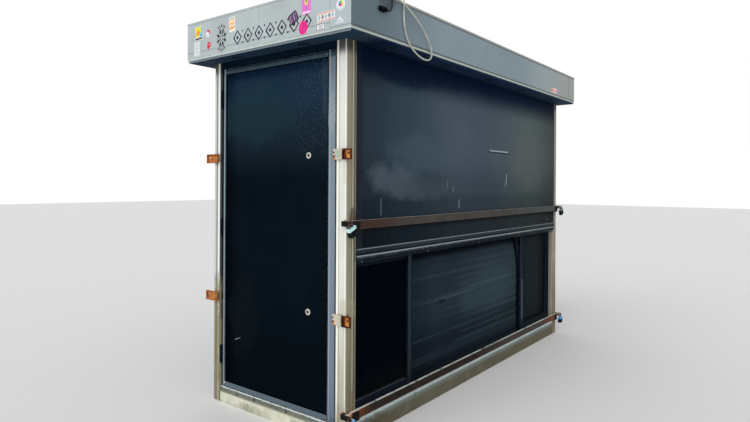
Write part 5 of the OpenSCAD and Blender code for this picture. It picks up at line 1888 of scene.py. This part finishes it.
@dataclass
class LockBars(SubAssembly):
    """The two flat bars across the front, their staples on the posts and the four padlocks."""

    bar_heights: Spot = (1.264, 0.173)
    cradle: Spot = (1.6134, -0.6029)
    cradle_drop: float = 0.033
    cradle_blobs: int = 18
    cradle_pitch: float = 0.00305
    foot: Spot = (1.640, -0.5985)
    foot_blobs: int = 5
    foot_pitch: float = 0.0029
    foot_edges: Spot = (-0.0073, 0.0253)
    hang_x: float = 1.6605
    eye_y: float = -0.6453
    eye_lift: float = 0.008
    eye_r: float = 0.0085
    eye_reach: float = 0.0035
    bow_r: float = 0.015
    shackle_r: float = 0.004
    play: float = 0.0003
    jacket_half: float = 0.0125
    jacket_ribs: Spot = (-0.0105, -0.0205)
    rivet_at: Spot = (0.021, -0.050)
    rivet_r: float = 0.0028
    collar_z: float = -0.0072
    bottom_z: float = -0.0619
    swings: tuple[tuple[int, float, float], ...] = ((-1, 1.264, -25), (1, 1.264, -20), (-1, 0.173, -22),
                                                    (1, 0.173, -4))

    FINISHES = {
        "upper_lock_bar": UPPER_BAR, "lower_lock_bar": LOWER_BAR, "bar_staples": STAPLE,
        "padlock_bodies": LOCK_BODY, "padlock_caps": LOCK_CAP, "padlock_shackles": STEEL,
    }

    def hang(self, side: int, height: float, swing: float) -> Matrix:
        """Gives a padlock's placing, with its origin under the shackle's bow.

        Args:
            side: -1 for the left post, 1 for the right.
            height: The bar's height.
            swing: Its swing along the bar, in degrees.

        Returns:
            The matrix.
        """
        turn = math.radians(swing)
        reach = self.bow_r * abs(math.sin(turn)) + self.eye_reach
        inner = math.sqrt((self.bow_r - self.shackle_r) ** 2 - reach ** 2)
        sink = self.eye_r - self.play - self.bow_r * math.cos(turn) + inner
        place = Matrix.Translation((side * self.hang_x, self.eye_y, height + self.eye_lift - sink))
        return place @ spin(swing, "Y") @ shift(0, 0, -self.bow_r)

    def build_lock_details(self) -> None:
        """Adds the ribs of the jackets, the collars of the shackles, the rivets and the key plates."""
        ribs, metal = Shape(), Shape()
        for lock in self.swings:
            hung = self.hang(*lock)
            front = hung @ facing(Side.FRONT, (0, -self.jacket_half, 0))
            for z in self.jacket_ribs:
                ribs.plate(rounded(0.056, 0.0022, 0.001, 2), front @ shift(0, z, 0), -0.0003, 0.0007)
            for sign in (-1, 1):
                spot = shift(sign * self.rivet_at[0], self.rivet_at[1], -FILM_SEAT)
                metal.rivet(front @ spot, self.rivet_r)
            for x in (-self.bow_r, self.bow_r):
                metal.turned(COLLAR, hung @ shift(x, 0, self.collar_z), 16, 1)
            bottom = hung @ shift(0, 0, self.bottom_z) @ spin(180, "X")
            metal.turned(KEY_PLATE, bottom, 18)
            metal.plate(rounded(0.0018, 0.0085, 0.0006, 2), bottom, 0.0015, 0.0020, 1)
        ribs.piece("lock_jacket_ribs", LOCK_CAP, slot="padlock_caps")
        metal.piece("lock_fittings", STEEL, RUBBER, slot="padlock_bodies")

    def build_welds(self) -> None:
        """Adds the weld beads of the staples on the posts."""
        shape = Shape()
        draw = random.Random(21)
        (cradle_x, cradle_y), (foot_x, foot_y) = self.cradle, self.foot
        for height in self.bar_heights:
            low = height - self.cradle_drop
            for side, sign in END_SIDES:
                spots = [(Side.FRONT, (sign * cradle_x, cradle_y, low + n * self.cradle_pitch))
                         for n in range(self.cradle_blobs)]
                spots += [(side, (sign * foot_x, foot_y + n * self.foot_pitch, height + z))
                          for n in range(self.foot_blobs) for z in self.foot_edges]
                for way, spot in spots:
                    shape.turned(STAPLE_BLOB, facing(way, spot, draw.uniform(*ANY_TURN)), 8)
        shape.piece("staple_welds", WELD, slot="bar_staples")

    def add_fittings(self) -> None:
        """Adds the padlocks' details and the staples' welds."""
        self.build_lock_details()
        self.build_welds()


@dataclass
class RoofBox(SubAssembly):
    """The boxed roof: soffit with its lights, boards, trims, deck and cable fittings."""

    half_x: float = 1.770
    half_y: float = 0.739
    soffit_z: float = 2.325
    lens_z: float = 2.327
    light_spots: tuple[Spot, ...] = tuple(
        [(x, s * 0.660) for s in (-1, 1) for x in (-1.30, -0.65, 0.0, 0.65, 1.30)]
        + [(s * 1.693, y) for s in (-1, 1) for y in (-0.30, 0.30)])
    trim_z: float = 2.347
    trim_rivet_r: float = 0.0026
    long_rivets: Row = tuple(-1.66 + n * 0.415 for n in range(9))
    end_rivets: Row = (-0.60, -0.36, -0.12, 0.12, 0.36, 0.60)
    long_screws: Row = (-1.5, -0.97, -0.32, 0.32, 0.97, 1.5)
    long_screws_y: float = 0.715
    long_screw_r: float = 0.0036
    end_screws: Row = (-0.579, 0.02, 0.56)
    end_screws_x: float = 1.755
    end_screw_r: float = 0.0046
    screw_twist: float = 50.0
    deck_edge: float = 0.715
    deck_top: float = 2.535
    deck_fall: float = 0.024
    deck_seat: float = 0.0004
    seams: Row = tuple(-1.45 + n * 0.58 for n in range(1, 6))
    flashing_y: float = 0.640
    flashing_x: float = 1.66
    flashing_half: float = 0.03
    flashing_starts: Spot = (-1.20, -1.70)
    flashing_end: float = 1.70
    deck_bolts: Row = tuple(-1.60 + n * 0.29 for n in range(12))
    deck_bolt_r: float = 0.0045
    bare_corner_x: float = -1.15
    glands: tuple[Spot, ...] = ((-1.420, -0.662), (-1.460, -0.668), (-1.293, -0.662))
    nut: Point = (-1.492, -0.753, 2.497)
    nut_r: float = 0.0138
    nut_ribs: int = 14

    FINISHES = {
        "soffit_panel": SOFFIT, "soffit_lights": LENS, "fascia_front": FASCIA_FRONT, "fascia_ends": FASCIA,
        "fascia_rear": FASCIA, "fascia_trims": TRIM, "roof_deck": DECK, "deck_glands": BLACK_PLASTIC,
        "cable_gland": BLACK_PLASTIC, "gland_lead": LEAD, "cable_loop": LOOP,
    }

    def deck_height(self, y: float) -> float:
        """Returns the deck's height at a place across it."""
        return self.deck_top + self.deck_fall * (self.deck_edge - y) / (2 * self.deck_edge)

    def build_light_rims(self) -> None:
        """Adds a bright rim and a small lens to each light in the soffit."""
        shape = Shape()
        for x, y in self.light_spots:
            shape.turned(LIGHT_RIM, facing(Side.UNDER, (x, y, self.soffit_z - FILM_SEAT)), 28)
            shape.turned(LENS_DOME, facing(Side.UNDER, (x, y, self.lens_z)), 20, 1)
        shape.piece("soffit_light_rims", GUIDE, LENS, slot="soffit_lights")

    def build_trim_fixings(self) -> None:
        """Adds the rivets along the lower trim, and the screws under the box."""
        shape = Shape()
        for x in self.long_rivets:
            for side, sign in LONG_SIDES:
                shape.rivet(facing(side, (x, sign * (self.half_y - SEAT), self.trim_z)), self.trim_rivet_r)
        for y in self.end_rivets:
            for side, sign in END_SIDES:
                shape.rivet(facing(side, (sign * (self.half_x - SEAT), y, self.trim_z)), self.trim_rivet_r)
        z = self.soffit_z + SEAT
        for x in self.long_screws:
            for sign in (-1, 1):
                spot = (x, sign * self.long_screws_y, z)
                shape.screw(facing(Side.UNDER, spot, x * self.screw_twist), self.long_screw_r)
        for y in self.end_screws:
            for sign in (-1, 1):
                spot = (sign * self.end_screws_x, y, z)
                shape.screw(facing(Side.UNDER, spot, y * self.screw_twist), self.end_screw_r)
        shape.piece("trim_fixings", SCREW, SLOT, slot="fascia_trims")

    def lay_strip(self, shape: Shape, xs: Spot, ys: Spot, height: float) -> None:
        """Adds a strip that lies on the sloping deck.

        Args:
            shape: The shape to add to.
            xs: Its ends along X.
            ys: Its ends along Y.
            height: Its thickness.
        """
        corners = []
        for x in xs:
            for y in ys:
                low = self.deck_height(y) - self.deck_seat
                corners += [Vector((x, y, low)), Vector((x, y, low + height))]
        shape.add(corners, BOX_SIDES)

    def build_deck(self) -> None:
        """Adds the deck's standing seams, edge flashing and bolts."""
        shape = Shape()
        half = self.flashing_half
        for x in self.seams:
            self.lay_strip(shape, (x - 0.012, x + 0.012), (-0.700, 0.700), 0.0045)
            self.lay_strip(shape, (x - 0.004, x + 0.004), (-0.698, 0.698), 0.016)
        edges = (-self.flashing_y, self.flashing_y)
        for y, start in zip(edges, self.flashing_starts):
            self.lay_strip(shape, (start, self.flashing_end), (y - half, y + half), 0.0022)
        for x in (-self.flashing_x, self.flashing_x):
            self.lay_strip(shape, (x - half, x + half), (-0.60, 0.60), 0.0026)
        for x in self.deck_bolts:
            for y in edges:
                if x > self.bare_corner_x or y > 0:
                    shape.bolt(facing(Side.TOP, (x, y, self.deck_height(y) + 0.0015)), self.deck_bolt_r, 1)
        shape.piece("deck_seams", DECK, SCREW, slot="roof_deck")

    def build_sealant(self) -> None:
        """Adds the ring of sealant round each gland on the deck."""
        shape = Shape()
        for x, y in self.glands:
            shape.turned(SEAL_RING, facing(Side.TOP, (x, y, self.deck_height(y) - self.deck_seat)), 20)
        shape.piece("gland_sealant", SEALANT, slot="roof_deck")

    def build_gland_nut(self) -> None:
        """Adds the ribs of the cable fitting's nut."""
        shape = Shape()
        for n in range(self.nut_ribs):
            place = shift(*self.nut) @ spin(360 / self.nut_ribs * n, "X") @ shift(0, 0, self.nut_r)
            shape.plate(rounded(0.016, 0.0022, 0.0008, 2), place, -0.0006, 0.0009)
        shape.piece("gland_nut_ribs", BLACK_PLASTIC, slot="cable_gland")

    def add_fittings(self) -> None:
        """Adds the lights' rims, the fixings, what lies on the deck and the nut's ribs."""
        self.build_light_rims()
        self.build_trim_fixings()
        self.build_deck()
        self.build_sealant()
        self.build_gland_nut()


@dataclass
class RearAndFarEnd(SubAssembly):
    """The plain rear wall and far end."""

    bays: tuple[Spot, ...] = ((-1.530, -0.545), (-0.495, 0.495), (0.545, 1.530))
    rear_z: Spot = (0.166, 2.249)
    rear_pane_y: float = 0.555
    rear_frame_y: float = 0.565
    rear_bead: float = 0.005
    far_y: Spot = (-0.463, 0.463)
    far_z: Spot = (0.146, 2.249)
    far_pane_x: float = 1.633
    far_frame_x: float = 1.638
    far_bead: float = 0.0035
    screw_r: float = 0.0042
    rear_screws: Row = (-1.545, -0.520, 0.520, 1.545)
    far_screws: Spot = (-0.494, 0.494)
    rear_foot: float = 0.148
    far_foot: float = 0.128
    upper_screws: Row = (0.62, 1.20, 1.78, 2.267)

    FINISHES = {
        "rear_frame": REAR_FRAME, "far_frame": REAR_FRAME, "rear_panes": REAR_PANE, "far_pane": REAR_PANE,
    }

    def build_beads(self) -> None:
        """Adds the rubber beads round the four panes."""
        shape = Shape()
        for across in self.bays:
            middle = (sum(across) / 2, self.rear_pane_y, sum(self.rear_z) / 2)
            shape.bead(Side.REAR, middle, across, self.rear_z, self.rear_bead)
        middle = (self.far_pane_x, 0.0, sum(self.far_z) / 2)
        shape.bead(Side.FAR_END, middle, self.far_y, self.far_z, self.far_bead)
        shape.piece("rear_beads", RUBBER, slot="rear_panes")

    def build_screws(self) -> None:
        """Adds the screws of both walls' frames."""
        shape = Shape()
        draw = random.Random(13)
        spots = [(Side.REAR, (x, self.rear_frame_y - SEAT, z))
                 for x in self.rear_screws for z in (self.rear_foot, *self.upper_screws)]
        spots += [(Side.FAR_END, (self.far_frame_x - SEAT, y, z))
                  for y in self.far_screws for z in (self.far_foot, *self.upper_screws)]
        for side, spot in spots:
            shape.screw(facing(side, spot, draw.uniform(*ANY_TURN)), self.screw_r)
        shape.piece("rear_screws", SCREW, SLOT, slot="rear_frame")

    def add_fittings(self) -> None:
        """Adds the beads and the screws."""
        self.build_beads()
        self.build_screws()


class Sticker(Shape):
    """One sticker: a film that is stuck on a board, with printed shapes and lines on it."""

    film: float = 0.0005
    ink: float = 0.0003

    def __init__(self, place: Matrix, outline: Sequence[Spot]) -> None:
        """Lays the film.

        Args:
            place: Where it is stuck.
            outline: The film's outline.
        """
        super().__init__()
        self.place = place
        self.plate(outline, place, -FILM_SEAT, self.film)

    def print(self, outline: Sequence[Spot], mark: int, layer: int = 1) -> None:
        """Adds a printed shape."""
        self.plate(outline, self.place, self.film - FILM_SEAT, self.film + self.ink * layer, mark)

    def line(self, points: Sequence[Spot], width: float, mark: int) -> None:
        """Adds a printed line."""
        self.ribbon(points, width, self.place, self.film - FILM_SEAT, self.film + self.ink, mark)

    def stick(self, name: str, *codes: str, slot: str = "fascia_ends") -> None:
        """Makes the piece, with the film's colour first and the inks' colours after it."""
        self.piece(name, *[vinyl(code) for code in codes], slot=slot)


@dataclass
class Stickers:
    """Worn stickers and a plain painted border on the end board, all of generic shapes."""

    board_x: float = -1.7700
    front_y: float = -0.7390
    diamonds: int = 7
    diamond_pitch: float = 0.102
    diamond_start: Spot = (0.205, 2.424)
    diamond_half: Spot = (0.036, 0.043)
    rosette_at: Spot = (0.366, 2.447)
    rosette_rise: float = 1.22
    splash_radii: tuple[int, ...] = (22, 17, 24, 16, 21, 15, 23, 18, 20, 14, 22, 17, 25, 16, 21, 15, 19, 16)

    def place(self, y: float, z: float, turn: float = 0.0) -> Matrix:
        """Returns the placing of a sticker on the end board."""
        return facing(Side.DOOR_END, (self.board_x, y, z), turn)

    def build_sunny_square(self) -> None:
        """Adds the bright square with a disc over a dark band."""
        square = Sticker(self.place(0.612, 2.514, 1.5), rounded(0.078, 0.092, 0.003))
        square.print(panel(-0.036, -0.026, 0.036, 0.043), 1)
        sky = [(0.006, -0.026), (0.036, -0.026), (0.036, 0.043), (0.022, 0.034), (0.030, 0.012)]
        square.print(sky, 2, 2)
        square.print(arc(0.017, 0, 340, 17, (-0.004, 0.002)), 3, 3)
        square.print([(-0.036, -0.026), (-0.029, -0.026), (-0.031, 0.010), (-0.036, 0.016)], 4, 2)
        square.print([(-0.036, -0.043), (0.036, -0.041), (0.036, -0.030), (-0.036, -0.032)], 5)
        square.stick("sticker_sunny", "e9e9e2", "f4dc1c", "35b3ee", "f0952a", "e86ab4", "14202c")

    def build_pale_label(self) -> None:
        """Adds the pale label with grey bars."""
        label = Sticker(self.place(0.628, 2.410, -1.0), rounded(0.068, 0.096, 0.003))
        for n, width in enumerate((0.044, 0.030, 0.038, 0.024, 0.041)):
            y = 0.032 - n * 0.014
            label.print(panel(-0.026, y - 0.0025, -0.026 + width, y + 0.0025), 1)
        label.line([(0.028, 0.042), (0.029, 0.0), (0.028, -0.042), (0.0, -0.043)], 0.0022, 2)
        label.stick("sticker_label", "dde2e2", "b4bcbe", "7f878b")

    def build_round_ones(self) -> None:
        """Adds the small round one with a crescent, and the red splash under it."""
        moon = Sticker(self.place(0.508, 2.500, 8), arc(0.026, 0, 345, 23))
        moon.print(arc(0.024, -30, 150, 12) + arc(0.0155, 150, -30, 12, (-0.005, -0.003)), 1)
        moon.line([(-0.012, -0.012), (-0.004, -0.009), (0.004, -0.013)], 0.004, 2)
        moon.stick("sticker_crescent", "eceeec", "b9203a", "56606a")
        edge = []
        for n, radius in enumerate(self.splash_radii):
            turn = math.radians(20 * n)
            edge.append((math.cos(turn) * radius / 1000, math.sin(turn) * radius * 1.25 / 1000))
        splash = Sticker(self.place(0.500, 2.418, -12), edge)
        splash.print(arc(0.0055, 0, 330, 11, (0.002, 0.005)), 1)
        splash.line([(-0.002, -0.012), (0.004, -0.026), (0.002, -0.036)], 0.008, 0)
        splash.stick("sticker_splash", "cc1c3a", "e9c8cc")

    def build_orange_wave(self) -> None:
        """Adds the tall white sticker with orange waves."""
        tall = Sticker(self.place(0.258, 2.519, 2), rounded(0.058, 0.098, 0.004))
        for n, width in enumerate((0.015, 0.011, 0.008)):
            y = -0.024 + n * 0.026
            wave = [(-0.022, y - 0.008), (-0.010, y + 0.006), (0.004, y - 0.004), (0.022, y + 0.010)]
            tall.line(wave, width, 1)
        tall.line([(-0.024, 0.041), (-0.004, 0.043), (0.018, 0.041)], 0.006, 2)
        tall.stick("sticker_waves", "f1ece2", "f59a24", "6cc6e6")

    def build_pinks(self) -> None:
        """Adds the three pink stickers."""
        dark = Sticker(self.place(-0.300, 2.462, 27), rounded(0.074, 0.066, 0.012))
        for n in range(4):
            x = -0.024 + n * 0.016
            zigzag = [(x - 0.008, -0.022), (x + 0.002, -0.004), (x - 0.004, 0.008), (x + 0.008, 0.022)]
            dark.line(zigzag, 0.0055, 1 + n % 2)
        dark.stick("sticker_dark_zigzag", "241c34", "d9a6cf", "8d74b4")
        tall = Sticker(self.place(-0.404, 2.520, 1), rounded(0.070, 0.108, 0.003))
        leaf = [(0.0, 0.044), (0.014, 0.026), (0.012, 0.006), (0.0, -0.008), (-0.012, 0.006),
                (-0.014, 0.026)]
        tall.print(leaf, 1)
        tall.print([(0.0, 0.036), (0.006, 0.024), (0.0, 0.006), (-0.006, 0.024)], 2, 2)
        tall.line([(0.0, -0.006), (0.003, -0.018), (0.0, -0.030)], 0.005, 2)
        tall.print(panel(-0.031, -0.050, 0.031, -0.038), 3)
        tall.stick("sticker_leaf", "e873d2", "e2dc5e", "3c7a44", "f3d3e6")
        oval = Sticker(self.place(-0.380, 2.392, -4), [(x, y * 1.14) for x, y in arc(0.035, 0, 345, 23)])
        for spot in ((-0.014, 0.016), (0.012, 0.018), (0.0, 0.0), (-0.016, -0.014), (0.015, -0.016)):
            oval.print(arc(0.0058, 0, 330, 11, spot), 1)
        oval.stick("sticker_spots", "ee0e86", "b83a8c")

    def build_strip_and_frame(self) -> None:
        """Adds the long strip of lozenges and the small framed one under it."""
        strip = Sticker(self.place(-0.556, 2.428, 2.5), rounded(0.134, 0.050, 0.002))
        strip.print(panel(-0.064, 0.017, 0.064, 0.022), 1)
        strip.print(panel(-0.064, -0.022, 0.064, -0.018), 1)
        for n in range(5):
            x, tall = -0.050 + n * 0.025, 0.014
            strip.print([(x - 0.009, 0.0), (x, -tall), (x + 0.009, 0.0), (x, tall)], 2 + n % 2)
            strip.print(arc(0.0035, 0, 300, 6, (x, 0.0)), 0, 2)
        strip.stick("sticker_lozenges", "e9e4e0", "e88f86", "2fb7e0", "2a3138")
        small = Sticker(self.place(-0.516, 2.374, 1.5), rounded(0.074, 0.046, 0.003))
        small.border(0.068, 0.040, 0.004, small.place, small.film - FILM_SEAT, small.film + small.ink, 1)
        for n, width in enumerate((0.040, 0.026, 0.034)):
            y = 0.009 - n * 0.009
            small.print(panel(-width / 2, y - 0.002, width / 2, y + 0.002), 2)
        small.stick("sticker_framed", "e6e8e8", "23282c", "8f969b")

    def build_wheel(self) -> None:
        """Adds the round one with a wheel of colours, and the pale peak under it."""
        wheel = Sticker(self.place(-0.664, 2.472), arc(0.032, 0, 348, 29))
        hub = (0.0, 0.006)
        for n in range(6):
            wheel.print([hub] + arc(0.016, 60 * n + 2, 60 * n + 58, 5, hub), 1 + n)
        wheel.line(arc(0.026, 200, 340, 14), 0.0024, 7)
        wheel.stick("sticker_wheel", "e8eceb", "f2d62a", "58b947", "2aa7de", "7a58b0", "e03a5c", "f28a2c",
                    "9aa2a4")
        outline = [(-0.032, -0.018), (0.032, -0.018), (0.018, 0.004), (0.004, 0.018), (-0.010, 0.004)]
        peak = Sticker(self.place(-0.655, 2.392, 1), outline)
        peak.line([(-0.022, -0.011), (-0.006, -0.004), (0.004, -0.010), (0.020, -0.009)], 0.004, 1)
        peak.stick("sticker_peak", "e4e8ea", "9a9fb0")

    def build_border(self) -> None:
        """Adds the painted border of diamonds and dots along the board."""
        shape = Shape()
        (wide, tall), (start, height) = self.diamond_half, self.diamond_start
        for n in range(self.diamonds):
            at = self.place(start - n * self.diamond_pitch, height)
            diamond = [(-wide, 0.0), (0.0, -tall), (wide, 0.0), (0.0, tall), (-wide, 0.0),
                       (-wide * 0.97, -0.001)]
            shape.ribbon(diamond, 0.0105, at, *PAINTED)
            shape.plate(arc(0.0105, 0, 337.5, 15), at, *PAINTED)
            if n < self.diamonds - 1:
                for z in (-tall + 0.006, tall - 0.006):
                    shape.plate(arc(0.0065, 0, 330, 11, (self.diamond_pitch / 2, z)), at, *PAINTED)
        shape.piece("painted_border", BORDER_NAVY, slot="fascia_ends")

    def build_rosette(self) -> None:
        """Adds the printed rosette of leaves at the border's end."""
        shape = Shape()
        middle = self.place(*self.rosette_at)
        tall = middle @ Matrix.Scale(self.rosette_rise, 4, (0, 1, 0))
        leaf = [(0.018, 0.0), (0.030, -0.008), (0.046, -0.006), (0.054, 0.0), (0.046, 0.006), (0.030, 0.008)]
        for n in range(8):
            shape.plate(leaf, tall @ spin(45 * n + 22.5), *PAINTED)
            shape.plate(arc(0.0038, 0, 300, 6, (0.040, 0.0)), tall @ spin(45 * n), *PAINTED)
        ring = [(x, y * self.rosette_rise) for x, y in arc(0.0135, 0, 350, 24)]
        shape.ribbon(ring, 0.004, middle, *PAINTED)
        petal = [(-0.003, -0.010), (0.003, -0.010), (0.004, 0.004), (0.0, 0.012), (-0.004, 0.004)]
        for up in (-1, 1):
            for n in range(-2, 3):
                tip = middle @ shift(n * 0.016, up * (0.080 - abs(n) * 0.006), 0) @ spin(-n * 22 * up)
                shape.plate(petal, tip, *PAINTED)
        shape.piece("painted_rosette", ROSETTE_INK, slot="fascia_ends")

    def build_front_one(self) -> None:
        """Adds the small sticker at the far end of the front board."""
        place = facing(Side.FRONT, (1.222, self.front_y, 2.392), 0.5)
        small = Sticker(place, rounded(0.130, 0.042, 0.003))
        small.print([(-0.060, -0.016), (-0.014, -0.016), (-0.006, 0.016), (-0.060, 0.016)], 1)
        small.print([(0.008, -0.016), (0.058, -0.016), (0.058, 0.010), (0.016, 0.016)], 2)
        small.stick("sticker_front", "f3efe8", "f08a2e", "ea7fb2", slot="fascia_front")

    def build(self) -> None:
        """Makes every sticker and both painted patterns."""
        self.build_sunny_square()
        self.build_pale_label()
        self.build_round_ones()
        self.build_orange_wave()
        self.build_pinks()
        self.build_strip_and_frame()
        self.build_wheel()
        self.build_border()
        self.build_rosette()
        self.build_front_one()


def main() -> None:
    """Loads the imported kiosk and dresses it."""
    logging.basicConfig(level=logging.INFO, format="%(name)s %(message)s")
    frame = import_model()
    Studio().build()
    Cables().build()
    Posts().build(frame)
    Base().build(frame)
    DoorEnd().build(frame)
    ServingFlap().build(frame)
    RollerFront().build(frame)
    LockBars().build(frame)
    RoofBox().build(frame)
    RearAndFarEnd().build(frame)
    Stickers().build()


if __name__ == "__main__":
    main()
